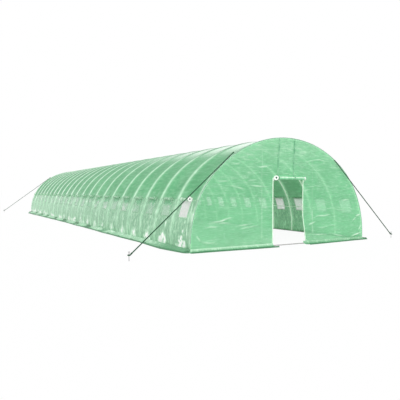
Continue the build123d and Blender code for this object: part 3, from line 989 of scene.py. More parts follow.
def side_paleness(y, girth):
    """Pale marks of the side film: upright streaks, partly paler creases and partly painted highlights,
    painted highlights on a crumpled patch and a fold line in each bay's foot, painted glints along the far
    foot, a paler far end, and darker film at the foot near the front.
    """
    slack = crumple(y * 2.2, girth * 2.4, 13)
    # Upright streaks: partly paler creased film, partly painted highlights on the folds
    streak = 0.5 * crest(crumple(y * 11.0, girth * 1.4, 14), 5) * (0.35 + 0.65 * slack**2)
    from_front = y + HALF_LENGTH
    off = from_bay_middle(y) + 0.02
    bend = 0.05 * crumple(y * 0.9, girth * 4.0, 16)
    spread = 0.34 - 0.7 * np.clip(girth - 0.1, 0, None)
    # Painted highlights on a crumpled patch in each bay's foot and along a fold line above it
    patch = smooth_step(spread, spread * 0.4, np.abs(off + bend)) * smooth_step(0.38, 0.2, girth)
    patch = patch * smooth_step(0.04, 0.1, girth) * smooth_step(-0.7, 0.2, crumple(y * 16, girth * 18, 17))
    lean = off + 0.27 * (girth - 0.22)
    painted_line = smooth_step(0.05, 0.015, np.abs(lean + bend * 0.4)) * smooth_step(0.85, 0.6, girth)
    painted_line = painted_line * smooth_step(-0.3, 0.4, crumple(y * 3.0, girth * 13.0, 18))
    fade = 0.5 + 0.5 * crumple(np.floor((y + END_HOOP_Y) / BAY) * 0.37 + 0.2, 0 * y, 19)
    first = smooth_step(3.2, 2.2, from_front)
    blotch = smooth_step(0.1, 0.7, crumple(y * 5.0, girth * 7.0, 44)) * smooth_step(0.62, 0.85, girth)
    foot_highlights = np.maximum(first, 0.25 + 0.45 * fade) * (2.6 * patch + 1.5 * painted_line)
    near_foot = smooth_step(3.4, 2.2, from_front) * smooth_step(0.14, 0.05, girth)
    shaded = side_shade(y, girth)
    far = 0.06 + 0.26 * smooth_step(-6.0, 8.0, y)
    # Painted glints along the far foot, on every other bay
    foot_glint = smooth_step(0.0, -0.9, two_bays(y)) * smooth_step(0.24, 0.14, girth)
    foot_glint = foot_glint * smooth_step(0.04, 0.1, girth)
    foot = smooth_step(-6.0, 2.0, y) * 1.15 * foot_glint
    return (streak + 0.55 * blotch + foot_highlights + far + foot) * (1 - shaded) - 0.4 * near_foot


def side_place(settings, offset=0.0, paleness=side_paleness):
    """Points of the side film, or of a sheet that follows it at an offset."""

    def place(u, v):
        y = bay_columns(u)
        girth = side_rows(v)
        x, z, nx, nz = arch_at(girth)
        lift = side_lift(settings, y, girth) + offset
        return x + nx * lift, y, z + nz * lift, y, girth, paleness(y, girth)

    return place


def in_window(along, girth, lap=0.0):
    """Whether a place on the side film is in a window, or in the lap round one."""
    beside = np.abs(from_bay_middle(along)) < WINDOW_WIDTH / 2 + lap
    return beside & (girth > WINDOW_SILL - lap) & (girth < WINDOW_TOP + lap)


class TUNNEL_OT_roof(bpy.types.Operator):
    """Roof film in one sheet over all hoops"""
    bl_idname = "tunnel.roof"
    bl_label = "Roof film"

    def execute(self, context):
        film = context.scene.tunnel_film
        roof = sheet_grid("roof_film", BAY_COUNT * ROOF_COLUMNS + 2, ROOF_ROWS, roof_place(film))
        point_outwards(roof, lambda centre: Vector((centre.x, 0, centre.z - CROWN_Z)))
        finish = film_finish(
            "roof_film", film.roof_green, film, streaks=(1.2, 4.0, 1.0), whitening=0.14, shade=0.35,
            see_through=film.roof_clear, hoop_lines=0.8, crest_gloss=True)
        strips = [
            f"roof_{part}_{side}"
            for part in ("haunch", "shoulder", "crown") for side in ("left", "right")
        ]
        settle(roof, finish, "cover_film", strips)
        return {"FINISHED"}


# Windows

WINDOW_LAP_SHARE = 0.08
ROLL_WAVE = 0.004
BORDER_THICKNESS = 0.0015
FIRST_BAY_END = -END_HOOP_Y + BAY
FIRST_BAY_MIDDLE = -END_HOOP_Y + BAY / 2


def net_density(y, girth):
    """How pale each window's net looks: the first one is the whitest."""
    number = np.floor((y + END_HOOP_Y) / BAY)
    shade = 0.34 + 0.12 * crumple(number * 0.61 + 0.3, 0 * y, 41)
    blotch = 0.3 * smooth_step(0.0, 0.7, crumple(y * 9.0, girth * 8.0, 45))
    return np.where(number < 1, 1.0, (shade + blotch) * (1 - side_shade(y, girth)))


def border_paleness(y, girth):
    return 0.1 + 0.85 * net_density(y, girth)


def closed_ring(obj):
    """Joins the two edges of a sheet that has been bent round on itself."""
    edit_whole(obj)
    bpy.ops.mesh.remove_doubles(threshold=MERGE_DISTANCE)
    bpy.ops.mesh.normals_make_consistent(inside=False)
    bpy.ops.object.mode_set(mode="OBJECT")
    return thicken(obj, TAPE_THICKNESS)


def beside_roll(out, up):
    """x and z of points about the line that the left flaps hang from: distance off it and height."""
    x, z, nx, nz = arch_point(WINDOW_ROLL_GIRTH)
    return x + nx * out + nz * up, z + nz * out - nx * up


def wavy(x, y, z):
    """Lifts and lowers the flaps a little along the tunnel."""
    return x, y, z + ROLL_WAVE * crumple(y * 1.3, 0 * y, 43)


def window_roll(settings):
    """Rolled-up flap over the window of the first bay on the left side."""
    half = WINDOW_WIDTH / 2 + settings.roll_lap
    core = settings.roll_core
    full = settings.roll_radius + settings.flare

    def place(u, v):
        y = FIRST_BAY_MIDDLE + (u * 2 - 1) * half
        to_end = half - np.abs(y - FIRST_BAY_MIDDLE)
        flare = settings.flare * np.exp(-to_end / 0.02)
        lump = 0.0025 * crumple(y * 12.0, v * 9.0, 42)
        out, up, _ = roll_section(
            v, settings.roll_radius, core, settings.roll_turns,
            SIDE_GIRTH - WINDOW_ROLL_GIRTH, flare + lump, WINDOW_LAP_SHARE)
        x, z = beside_roll(out + WALL_GAP, up)
        return x, y, z, y, v, 0.6 + 1.4 * smooth_step(0.03, 0.02, to_end)

    def end_place(side, inner, outer, inset, bulge, pale):
        def ring(u, v):
            angle = u * 2 * math.pi
            radius = inner + (outer - inner) * v
            x, z = beside_roll(full + WALL_GAP - radius * np.cos(angle), radius * np.sin(angle))
            y = FIRST_BAY_MIDDLE + side * (half - inset + bulge * np.sin(np.pi * v)) + 0 * u
            return x, y, z, u, v, pale

        return ring

    # White ring at each end, and a disc of painted shade in its hollow core: grid, inner and outer radius,
    # inset, bulge and paleness
    ends = (
        (24, 3, core, full, 0.006, 0.006, WHITE),
        (16, 1, 0.0, core + 0.004, 0.007, 0.0, PAINTED_SHADE),
    )
    pieces = [thicken(sheet_grid("window_roll", 14, 48, place), FILM_THICKNESS)]
    for columns, rows, *shape in ends:
        for side in (-1, 1):
            pieces.append(closed_ring(sheet_grid("roll_end", columns, rows, end_place(side, *shape))))
    return join(pieces, "window_roll")


def window_tie(settings, shift):
    """Band round a rolled-up flap, a short way from its middle."""
    radius = settings.roll_radius + 0.005

    def place(u, v):
        angle = u * 2 * math.pi
        x, z = beside_roll(radius + 0.001 - radius * np.cos(angle), radius * np.sin(angle))
        y = FIRST_BAY_MIDDLE + shift + (v - 0.5) * settings.tie_width
        return x, y, z, u, v, 0.0

    return closed_ring(sheet_grid("window_tie", 24, 1, place))


class TUNNEL_OT_sides(bpy.types.Operator):
    """Side films with their window openings, nets, borders, rolled-up flaps and ties"""
    bl_idname = "tunnel.sides"
    bl_label = "Sides and windows"

    def execute(self, context):
        film = context.scene.tunnel_film
        window = context.scene.tunnel_window
        side_film = film_finish(
            "side_film", film.side_green, film, streaks=(12.0, 2.6, 1.0), whitening=0.75, shade=0.5,
            see_through=film.roof_clear, hoop_lines=0.2)
        flap_film = film_finish(
            "flap_film", film.side_green, film, streaks=(9.0, 9.0, 1.0), whitening=0.7, shade=0.2,
            see_through=film.roof_clear)
        border_film = film_finish(
            "border_film", film.side_green, film, streaks=(9.0, 9.0, 1.0), whitening=0.7, shade=0.1,
            see_through=film.wall_clear)
        net = net_finish(window)
        tie = webbing_finish("window_tie", film.side_green, film.pale_green, scale=40.0, direction="Y")

        def side_sheet(name, offset, paleness, unwanted):
            sheet = sheet_grid(name, SIDE_COLUMNS, SIDE_ROWS, side_place(film, offset, paleness))
            delete_faces(sheet, unwanted)
            return point_outwards(sheet, lambda centre: Vector((-1, 0, 0)))

        lap = window.net_lap
        side = side_sheet("side_film_left", 0.0, side_paleness, in_window)
        nets = side_sheet(
            "window_nets_left", -FILM_THICKNESS, net_density,
            lambda along, girth: ~in_window(along, girth, lap))
        border = side_sheet(
            "window_borders_left", FILM_THICKNESS / 2, border_paleness,
            lambda along, girth: in_window(along, girth) | ~in_window(along, girth, lap))
        thicken(border, BORDER_THICKNESS)
        rolls = repeat_along(window_roll(window), BAY_COUNT, BAY)
        reshape(named(rolls, "window_rolls_film_left"), wavy)
        x0, z0 = arch_point(WINDOW_ROLL_GIRTH)[:2]
        first_end = FIRST_BAY_MIDDLE - WINDOW_WIDTH / 2 - window.roll_lap

        def open_first(x, y, z):
            wider = 1 + window.first_flare * smooth_step(0.05, 0.01, y - first_end)
            return x0 + (x - x0) * wider, y, z0 + (z - z0) * wider

        reshape(rolls, open_first)
        repaint(rolls, lambda pale, y: np.where(
            y < FIRST_BAY_END, pale, 0.2 + 0.3 * smooth_step(-5.0, 5.0, y)))
        spacing = window.tie_spacing / 2
        ties = join([window_tie(window, -spacing), window_tie(window, spacing)], "window_ties_left")
        repeat_along(ties, BAY_COUNT, BAY)
        reshape(ties, wavy)

        lefts = [side, nets, border, rolls, ties]
        rights = [copied(piece, piece.name.replace("left", "right"), TO_RIGHT) for piece in lefts]
        repaint(rights[0], lambda pale, y: np.where(y < 0, np.minimum(pale, 0.3), pale))
        # Painted light: the right nets are paler, most of all past the first bays, as if lit from behind
        repaint(rights[1], lambda pale, y: 0.45 + 0.5 * smooth_step(
            FIRST_BAY_END, FIRST_BAY_END + 3 * BAY, y))
        for hand, pieces in (("left", lefts), ("right", rights)):
            settle(pieces[0], side_film, "side_film", [f"side_sheet_{hand}"])
            settle(pieces[1], net, "window_net", [f"window_meshes_{hand}"])
            settle(pieces[2], border_film, "side_film")
            settle(pieces[3], flap_film, "side_film", [f"window_rolls_{hand}"])
            settle(pieces[4], tie, "side_film")
            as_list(pieces[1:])
        return {"FINISHED"}


# End walls

# Creases of the front wall: ends in x and z, width, height and paleness
WALL_CREASES = [
    (-2.49, 0.68, -1.85, 0.78, 0.024, 0.014, 1.2),
    (-2.3, 0.69, -1.85, 0.64, 0.02, 0.01, 0.8),
    (-2.64, 0.52, -2.26, 0.58, 0.022, 0.01, 0.7),
    (-1.74, 0.61, -1.13, 0.61, 0.02, 0.01, 0.7),
    (-1.59, 0.53, -0.97, 0.55, 0.02, 0.01, 0.7),
    (-2.34, 1.68, -1.88, 1.64, 0.022, 0.01, 0.8),
    (-1.96, 1.58, -1.38, 1.44, 0.024, 0.01, 0.7),
    (-1.39, 1.64, -1.05, 1.73, 0.022, 0.01, 0.6),
    (-1.36, 1.56, -0.68, 1.54, 0.024, 0.01, 0.8),
    (-1.06, 2.02, -0.69, 2.05, 0.022, 0.01, 1.0),
    (-1.88, 2.09, -1.56, 2.13, 0.02, 0.008, 0.6),
    (-1.69, 2.27, -1.33, 2.24, 0.02, 0.008, 0.5),
    (-1.19, 2.15, -0.9, 2.2, 0.02, 0.008, 0.5),
    (-2.86, 0.36, -2.71, 0.21, 0.03, 0.014, 0.9),
    (-2.71, 0.21, -2.31, 0.2, 0.024, 0.012, 0.8),
    (-2.28, 1.17, -2.04, 1.17, 0.02, 0.008, 0.4),
    (0.52, 2.26, 1.6, 2.33, 0.02, 0.01, 0.8),
    (0.66, 1.55, 1.14, 1.62, 0.02, 0.008, 0.5),
    (0.55, 1.46, 0.87, 1.5, 0.02, 0.008, 0.5),
    (0.88, 0.7, 1.6, 0.77, 0.022, 0.012, 1.0),
    (0.71, 0.52, 1.02, 0.59, 0.022, 0.012, 1.0),
    (2.04, 1.2, 2.41, 1.22, 0.018, 0.008, 0.7),
    (2.66, 0.72, 2.9, 0.78, 0.026, 0.012, 1.2),
    (2.51, 0.51, 2.7, 0.71, 0.026, 0.01, 0.8),
    (2.5, 0.09, 2.96, 0.22, 0.03, 0.016, 1.5),
    (0.89, 0.27, 1.5, 0.23, 0.022, 0.012, 0.9),
    (1.5, 0.23, 2.24, 0.14, 0.024, 0.012, 0.9),
    (2.84, 0.28, 2.93, 0.46, 0.024, 0.012, 1.0),
    (1.1, 0.42, 1.9, 0.48, 0.02, 0.008, 0.5),
    (1.5, 0.95, 2.3, 0.9, 0.02, 0.008, 0.4),
]
# Upright lines where the film lies on what is behind it: x, lowest and highest z, paleness
WALL_LINES = [
    (-POST_X, 0.1, 2.5, 0.35),
    (-2.06, 0.3, 0.75, 0.6),
    (POST_X, 0.3, 0.9, 0.6),
]
JAMB_BOW = 0.03
JAMB_FLARE = 0.115
WELT_RADIUS = 0.009
WELT_INSET = 0.002
WELT_FOOT = 0.012


def jamb_shift(x, z):
    """Sideways pull of the right door jamb: a slight bow, and a flare at the ground."""
    bow = -JAMB_BOW * smooth_step(0.4, 0.9, z) * smooth_step(2.1, 1.8, z)
    flare = JAMB_FLARE * np.clip(1 - z / 0.8, 0, 1) ** 1.6
    reach = np.where(x > 0, smooth_step(0.6, 0.0, x - HALF_DOOR), 0)
    return (bow + flare) * reach


def line_distance(x, z, x0, z0, x1, z1):
    """Distance of points from a short line, and how far along it they lie."""
    dx, dz = x1 - x0, z1 - z0
    run = np.clip(((x - x0) * dx + (z - z0) * dz) / (dx**2 + dz**2), 0, 1)
    return np.hypot(x - x0 - run * dx, z - z0 - run * dz), run


def wall_grid(u, v):
    """Points of an end wall, with grid lines along the edges of the doorway."""
    columns = DOOR_COLUMNS + 2 * OUTER_COLUMNS
    step = (u * columns - OUTER_COLUMNS) / DOOR_COLUMNS * 2 - 1
    past = np.clip((np.abs(step) - 1) * DOOR_COLUMNS / 2 / OUTER_COLUMNS, 0, 1)
    start = math.asin(HALF_DOOR / HALF_WIDTH)
    outer = HALF_WIDTH * np.sin(start + past * (math.pi / 2 - start))
    x = np.where(np.abs(step) <= 1, step * HALF_DOOR, np.sign(step) * outer)
    top = arch_height(x)
    knee = DOOR_HEIGHT * np.minimum(1, top / arch_height(HALF_DOOR))
    low = DOOR_ROWS / WALL_ROWS
    z = np.where(v <= low, knee * v / low, knee + (top - knee) * (v - low) / (1 - low))
    return x, z, top


def wall_place(settings):
    """End wall with ripples across it, creases with painted shade beside them, paler lines over the posts,
    and painted shade towards its foot.
    """

    def place(u, v):
        x, z, top = wall_grid(u, v)
        room = np.minimum(top - z, HALF_WIDTH - np.abs(x))
        calm = smooth_step(0.02, 0.25, room) * smooth_step(0.0, 0.12, np.abs(np.abs(x) - POST_X))
        beside_door = np.abs(np.abs(x) - HALF_DOOR) + np.where(z > DOOR_HEIGHT + 0.1, 1, 0)
        calm = calm * smooth_step(0.0, 0.1, beside_door)
        ripple = crumple(x * 1.3, z * 7.5, 21) + 0.5 * crumple(x * 3.4, z * 15.0, 22)
        relief = settings.wall_ripple * calm * (0.6 * ripple + 0.8 * crumple(x * 1.1, z * 1.6, 23))
        lines = crest(crumple(x * 1.5, z * 8.5, 29) + 0.35 * crumple(x * 5.0, z * 17.0, 30), 9)
        pale = 0.5 * lines * smooth_step(-0.5, 0.6, crumple(x * 1.7, z * 2.3, 24))
        # Painted shade towards the foot of the wall, and paler towards its top
        pale = np.maximum(pale, 0.22 * crest(ripple, 6)) - (0.7 - 0.03 * x) * smooth_step(1.6, 0.15, z)
        pale = pale + 0.16 * smooth_step(1.6, 2.5, z)
        crease_shade = 0 * x
        wander_x = x + 0.04 * crumple(x * 2.6, z * 2.6, 25)
        wander_z = z + 0.04 * crumple(x * 3.6, z * 3.6, 26)
        uneven = 0.55 + 0.45 * crumple(x * 9.0, z * 9.0, 27)
        for x0, z0, x1, z1, width, height, white in WALL_CREASES:
            off, run = line_distance(wander_x, wander_z, x0, z0, x1, z1)
            taper = np.sin(np.pi * np.clip(run, 0.02, 0.98)) ** 0.7
            ridge = np.exp(-((off / width) ** 2)) * taper
            relief = relief + height * ridge
            pale = np.maximum(pale, 1.5 * white * ridge * (0.4 + 0.6 * uneven))
            # Painted shade in a narrow band beside each crease
            crease_shade = np.maximum(crease_shade, (np.exp(-((off / (2.4 * width)) ** 2)) - ridge) * white * taper)
        pale = np.minimum(pale, 1.6) - 0.3 * crease_shade
        for at, low, high, white in WALL_LINES:
            inside = smooth_step(low - 0.05, low + 0.05, z) * smooth_step(high + 0.05, high - 0.05, z)
            held = smooth_step(-0.5, 0.5, crumple(x, z * 3.4, 28))
            pale = np.maximum(pale, white * inside * held * np.exp(-(((x - at) / 0.022) ** 2)))
        return x + jamb_shift(x, z), -FILM_HALF - relief, z, x, z, pale

    return place


def arch_tube(radius, inset, y, foot, sides):
    """Bent tube along the arch: straight legs, haunch arcs and the crown arc."""
    leg_x = HALF_WIDTH - inset
    deselect_all()
    bpy.ops.mesh.primitive_circle_add(vertices=sides, radius=radius, location=(-leg_x, y, foot))
    tube = bpy.context.object
    apply_place(tube)
    edit_whole(tube)
    bpy.ops.mesh.extrude_region_move(TRANSFORM_OT_translate={"value": (0, 0, FOOT_HEIGHT - foot)})
    arcs = (
        (14, HAUNCH_ANGLE, (-HAUNCH_X, y, FOOT_HEIGHT)),
        (26, math.pi - 2 * HAUNCH_ANGLE, (0, y, CROWN_Z)),
        (14, HAUNCH_ANGLE, (HAUNCH_X, y, FOOT_HEIGHT)),
    )
    for steps, angle, centre in arcs:
        bpy.ops.mesh.spin(steps=steps, angle=-angle, center=centre, axis=(0, 1, 0))
    bpy.ops.mesh.extrude_region_move(TRANSFORM_OT_translate={"value": (0, 0, foot - FOOT_HEIGHT)})
    bpy.ops.object.mode_set(mode="OBJECT")
    return close_shell(tube)


class TUNNEL_OT_end_walls(bpy.types.Operator):
    """End walls with their doorways, and the welts where they join the roof"""
    bl_idname = "tunnel.end_walls"
    bl_label = "End walls"

    def execute(self, context):
        film = context.scene.tunnel_film
        finish = film_finish(
            "wall_film", film.wall_green, film, streaks=(1.8, 13.0, 1.0), whitening=0.3, shade=0.25,
            see_through=film.wall_clear)
        front = sheet_grid("front_wall_film", DOOR_COLUMNS + 2 * OUTER_COLUMNS, WALL_ROWS, wall_place(film))
        delete_faces(front, lambda x, z: (np.abs(x) < HALF_DOOR) & (z < DOOR_HEIGHT))
        point_outwards(front, lambda centre: Vector((0, -1, 0)))
        rear = copied(front, "rear_wall_film", TO_REAR)
        welt = arch_tube(WELT_RADIUS, WELT_INSET, -HALF_LENGTH + WELT_INSET, WELT_FOOT, 8)
        welts = named(repeat_along(welt, 2, 2 * (HALF_LENGTH - WELT_INSET)), "arch_welts")
        smooth(welts, ROUND_EDGE)
        cord = webbing_finish("welt_cord", film.welt_and_shade_grey, dimmed(film.welt_and_shade_grey, 1.5), scale=30.0)
        settle(welts, cord, "cover_film")
        for end, wall in (("front", front), ("rear", rear)):
            parts = [f"{end}_wall_{part}" for part in ("left", "right", "over_door")]
            settle(wall, finish, "cover_film", parts)
        return {"FINISHED"}


# Doors

DOOR_LAP = 0.07
DOOR_LAP_SHARE = 0.04
RIGHT_FLARE_SHARE = 0.2
DOOR_THICKNESS = 0.0012
STRAP_THICKNESS = 0.0018


def door_roll(settings):
    """Front door film rolled up over the doorway, with a painted highlight along it, opening out into
    white-hemmed rings at its ends and a disc of painted shade in the open left end.
    """
    left, right = settings.roll_ends
    full = settings.roll_radius + settings.flare

    def turned(x, off):
        """Turns the open left end a little to the front."""
        return x + settings.ring_turn * off * np.exp(-(((x - left) / 0.06) ** 2))

    def place(u, v):
        x = left + u * (right - left)
        to_end = np.minimum(x - left, right - x)
        flare = settings.flare * np.exp(-((to_end / 0.045) ** 2)) * np.where(x < 0, 1.0, RIGHT_FLARE_SHARE)
        lump = 0.003 * crumple(x * 9.0, v * 11.0, 51)
        out, up, angle = roll_section(
            v, settings.roll_radius, settings.roll_core, settings.roll_turns,
            DOOR_LAP, flare + lump, DOOR_LAP_SHARE)
        sag = 0.006 * crumple(x * 2.5, 0 * x, 52)
        # Painted highlight along the top front of the roll
        painted_highlight = smooth_step(0.8, 0.98, -0.8 * np.cos(angle) - 0.6 * np.sin(angle))
        hemmed = smooth_step(settings.hem + 0.008, settings.hem, to_end) * (v > DOOR_LAP_SHARE)
        pale = 1.3 * painted_highlight + WHITE * hemmed
        y = -HALF_LENGTH - WALL_GAP - out
        return turned(x, out - full), y, ROLL_Z + up + sag, x, v, np.minimum(pale, WHITE)

    def end_place(x, radius, core, bulge, pale):
        def ring(u, v):
            angle = u * 2 * math.pi
            wound = core + (radius - core) * v
            off = radius - wound * np.cos(angle)
            across = turned(x + bulge * np.sin(np.pi * v) + 0 * u, off - radius)
            return across, -HALF_LENGTH - WALL_GAP - off, ROLL_Z + wound * np.sin(angle), u, v, pale

        return ring

    slight = settings.roll_radius + settings.flare * RIGHT_FLARE_SHARE
    # White ring of the open left end, a disc of painted shade in its hollow core, and the right end
    ends = (
        end_place(left + 0.004, full + 0.002, settings.ring_core, -0.01, WHITE),
        end_place(left + 0.03, settings.ring_core + 0.006, 0.0, 0.0, PAINTED_SHADE),
        end_place(right - 0.004, slight, settings.roll_core, 0.008, 1.4),
    )
    pieces = [thicken(sheet_grid("front_door_roll_film", 48, 220, place), DOOR_THICKNESS)]
    pieces += [closed_ring(sheet_grid("roll_end", 28, 4, end)) for end in ends]
    return join(pieces, "front_door_roll_film")


def door_zip(side, settings):
    """Zip tape up a jamb of the front door, with a row of teeth along its edge and a slider."""
    low, high = ZIP_LOW.z, ROLL_Z
    width = ZIP_HIGH.x - HALF_DOOR
    pitch = settings.tooth_pitch

    def place(u, v):
        z = low + v * (high - low)
        x = side * (HALF_DOOR + u * width)
        return x + jamb_shift(x, z), -HALF_LENGTH - WALL_GAP + 0 * x, z, x, z, 0.0

    def to_jamb(x, y, z):
        z = z + low + pitch / 2
        jamb = np.full_like(z, side * HALF_DOOR)
        return x + jamb + jamb_shift(jamb, z), y - HALF_LENGTH - 0.006, z

    tape = thicken(sheet_grid("zip_tape", 4, 90, place), TAPE_THICKNESS)
    teeth = rounded_box((0.008, 0.004, pitch * 0.6), (0, 0, 0), 0.001)
    reshape(repeat_along(teeth, int((high - low) / pitch), pitch, axis=2), to_jamb)
    slider_place = (side * HALF_DOOR, -HALF_LENGTH - 0.01, high - 0.05)
    slider = rounded_box((0.018, 0.01, 0.03), slider_place, 0.003, segments=2)
    deselect_all()
    bpy.ops.mesh.primitive_torus_add(
        major_segments=16, minor_segments=6, major_radius=0.014, minor_radius=0.0025,
        location=(side * HALF_DOOR, -HALF_LENGTH - 0.017, high - 0.076), rotation=(math.pi / 2, 0, 0))
    pull = bpy.context.object
    apply_place(pull)
    return tape, join([teeth, slider, pull], "zip_teeth")


def strap_path(settings):
    """Distance off the wall and height of a strap, from its top down and round the roll."""
    radius = settings.roll_radius + 0.006
    centre = settings.roll_radius + WALL_GAP
    angles = np.radians(np.linspace(128, -150, 24))
    out = np.concatenate([[0.003, 0.003, 0.006], centre + radius * np.cos(angles)])
    up = np.concatenate([[STRAP_TOP, ROLL_Z + 0.16, ROLL_Z + 0.075], ROLL_Z + radius * np.sin(angles)])
    return out, up


def door_strap(top_x, foot_x, width, settings):
    """Webbing strap of the front door, down the wall and round the rolled-up film."""
    out, up = strap_path(settings)
    along = np.concatenate([[0], np.cumsum(np.hypot(np.diff(out), np.diff(up)))])
    along = along / along[-1]

    def place(u, v):
        off = np.interp(v, along, out)
        z = np.interp(v, along, up)
        fall = np.clip((STRAP_TOP - z) / (STRAP_TOP - ROLL_Z), 0, 1)
        middle = top_x + (foot_x - top_x) * fall + 0.006 * np.sin(fall * 9.0)
        off = off + 0.003 * np.abs(np.sin(fall * 7.0)) * (fall < 0.9)
        return middle + (u - 0.5) * width, -HALF_LENGTH - off, z, u, v, 0.0

    return thicken(sheet_grid("door_strap", 3, 120, place), STRAP_THICKNESS)


class TUNNEL_OT_doors(bpy.types.Operator):
    """Rolled-up doors with their straps and zips, at both ends"""
    bl_idname = "tunnel.doors"
    bl_label = "Doors"

    def execute(self, context):
        film = context.scene.tunnel_film
        door = context.scene.tunnel_door
        roll_film = film_finish(
            "door_film", film.wall_green, film, streaks=(6.0, 6.0, 1.0), whitening=0.3, shade=0.2,
            see_through=film.roof_clear)
        tape = webbing_finish("zip_tape", door.tape_cream, film.pale_green, scale=60.0)
        teeth = webbing_finish("zip_teeth", door.tooth_white, film.hem_white, scale=26.0)
        webbing = webbing_finish("door_strap", door.strap_green, film.side_green, scale=45.0)
        roll = door_roll(door)
        tapes, rows = zip(door_zip(-1, door), door_zip(1, door))
        straps = [
            door_strap(top, foot, door.strap_width, door) for top, foot in zip(STRAP_TOPS, STRAP_FEET)
        ]
        rear_roll = copied(roll, "rear_door_roll_film", TO_REAR)
        settle(roll, roll_film, "cover_film", ["front_door_roll"])
        settle(rear_roll, roll_film, "cover_film", ["rear_door_roll"])
        groups = (
            (tapes, "door_zip_tapes", tape, "zip_tape", ["door_zips"]),
            (rows, "door_zip_teeth", teeth, "zip_tape", []),
            (straps, "door_strap_webbing", webbing, "door_strap", ["door_straps"]),
        )
        for pieces, name, finish, slot, replaced in groups:
            front = join(list(pieces), name)
            both = join([front, copied(front, f"{name}_rear", TO_REAR)], name)
            settle(smooth(both, SHARP_EDGE), finish, slot, replaced)
        for piece in (roll, rear_roll):
            flat = (2 * HALF_DOOR, DOOR_HEIGHT)
            area = min(sheet_area(piece) / 2, flat[0] * flat[1])
        return {"FINISHED"}


# Ground skirts

SKIRT_EDGE = 0.86
SKIRT_HEM = 0.03
FOLD_SHADE = -0.65
CORNER_SPREAD = 0.07
SIDE_SKIRT_END = 0.1
END_SKIRT_ENDS = {-1: (0.15, 0.28), 1: (0.12, 0.29)}
# Pull of the near part of a side skirt: distances from its front end, and widths
NEAR_SKIRT = ((0.0, 0.15, 0.5, 0.93, 1.6, 2.4, 3.1), (0.09, 0.19, 0.27, 0.33, 0.31, 0.26, 0.27))


def skirt_profile(v, width):
    """Distance out from the wall and height over the ground, from the fold to the outer edge."""
    out = 0.004 + width * v**1.3
    up = 0.004 + (SKIRT_RISE - 0.004) * np.exp(-((v * 5.5) ** 1.4))
    hem = np.clip((v - SKIRT_EDGE) / (1 - SKIRT_EDGE), 0, 1)
    return out, up + SKIRT_HEM * np.sin(np.pi * hem) ** 0.7


def side_skirt_place(u, v):
    """Left skirt: narrow at its corners, and wider towards the rear, as it is pulled out."""
    y = (u * 2 - 1) * HALF_LENGTH
    rear = SIDE_SKIRT_END
    wide = SIDE_SKIRT_REACH * (0.62 + 0.3 * smooth_step(0.0, 9.0, y) + 0.05 * crumple(y * 1.1, 0 * y, 31))
    from_front = y + HALF_LENGTH
    near_width = np.interp(from_front, *NEAR_SKIRT)
    wide = near_width + (wide - near_width) * smooth_step(2.4, 4.0, from_front)
    wide = rear + (wide - rear) * smooth_step(0.0, 1.8, HALF_LENGTH - y)
    out, up = skirt_profile(v, wide)
    lump = np.clip(crumple(y * 2.1, v * 2.0, 32) + 0.6 * crumple(y * 7.0, v * 3.0, 33), 0, None)
    up = up + 0.03 * lump * np.sin(np.pi * v) ** 0.8
    corner = smooth_step(0.5, 0.0, HALF_LENGTH - np.abs(y))
    y_out = y + np.sign(y) * out * corner
    streak = crest(crumple(y * 9.0, v * 1.5, 37), 4)
    near = smooth_step(2.4, 0.8, from_front)
    # Paler streaks, painted highlights on the raised lumps, and darker film near the front
    pale = (0.45 + 0.6 * streak + 0.4 * smooth_step(0.2, 0.8, lump)) * (1 - near) - 0.25 * near
    # Painted shade in a dark blob at each hoop, near the outer edge
    hoop = np.exp(-(((0.5 - np.abs(from_bay_middle(y)) / BAY) * BAY / 0.09) ** 2))
    folded = smooth_step(0.1, 0.9, two_bays(y)) * smooth_step(-7.0, -3.0, y)
    pale = pale * (1 - folded) + FOLD_SHADE * folded - 1.3 * hoop * smooth_step(0.45, 0.8, v)
    up = up + 0.02 * hoop * smooth_step(0.6, 0.9, v) * smooth_step(1.0, 0.95, v)
    pale = np.where(v > SKIRT_EDGE + 0.03, FOLD_SHADE, pale)
    return -(HALF_WIDTH + out), y_out, up, y, v * SIDE_SKIRT_REACH, pale


def end_skirt_place(side):
    """Half of the front skirt, from the door to the corner."""
    corner_width, door_width = END_SKIRT_ENDS[side]

    def place(u, v):
        x = HALF_DOOR + u * (HALF_WIDTH - HALF_DOOR)
        wide = door_width + (corner_width - door_width) * u + 0.015 * crumple(x * 1.7, 0 * x, 34)
        out, up = skirt_profile(v, wide)
        lump = np.clip(crumple(x * 2.6, v * 2.0, 35) + 0.4 * crumple(x * 8.0, v * 3.0, 36), 0, None)
        up = up + 0.016 * lump * np.sin(np.pi * v) ** 0.8
        corner = smooth_step(0.5, 0.0, HALF_WIDTH - x)
        # Painted highlight along the fold, and painted shade on the part that lies on the ground
        pale = (0.9 if side < 0 else 0.4) * smooth_step(0.25, 0.08, v)
        pale = pale - 0.45 * smooth_step(0.25, 0.6, v)
        pale = np.where(v > SKIRT_EDGE + 0.03, FOLD_SHADE, pale)
        x_out = side * (x + np.minimum(out, CORNER_SPREAD) * corner)
        return x_out, -(HALF_LENGTH + out), up, x, v * END_SKIRT_REACH, pale

    return place


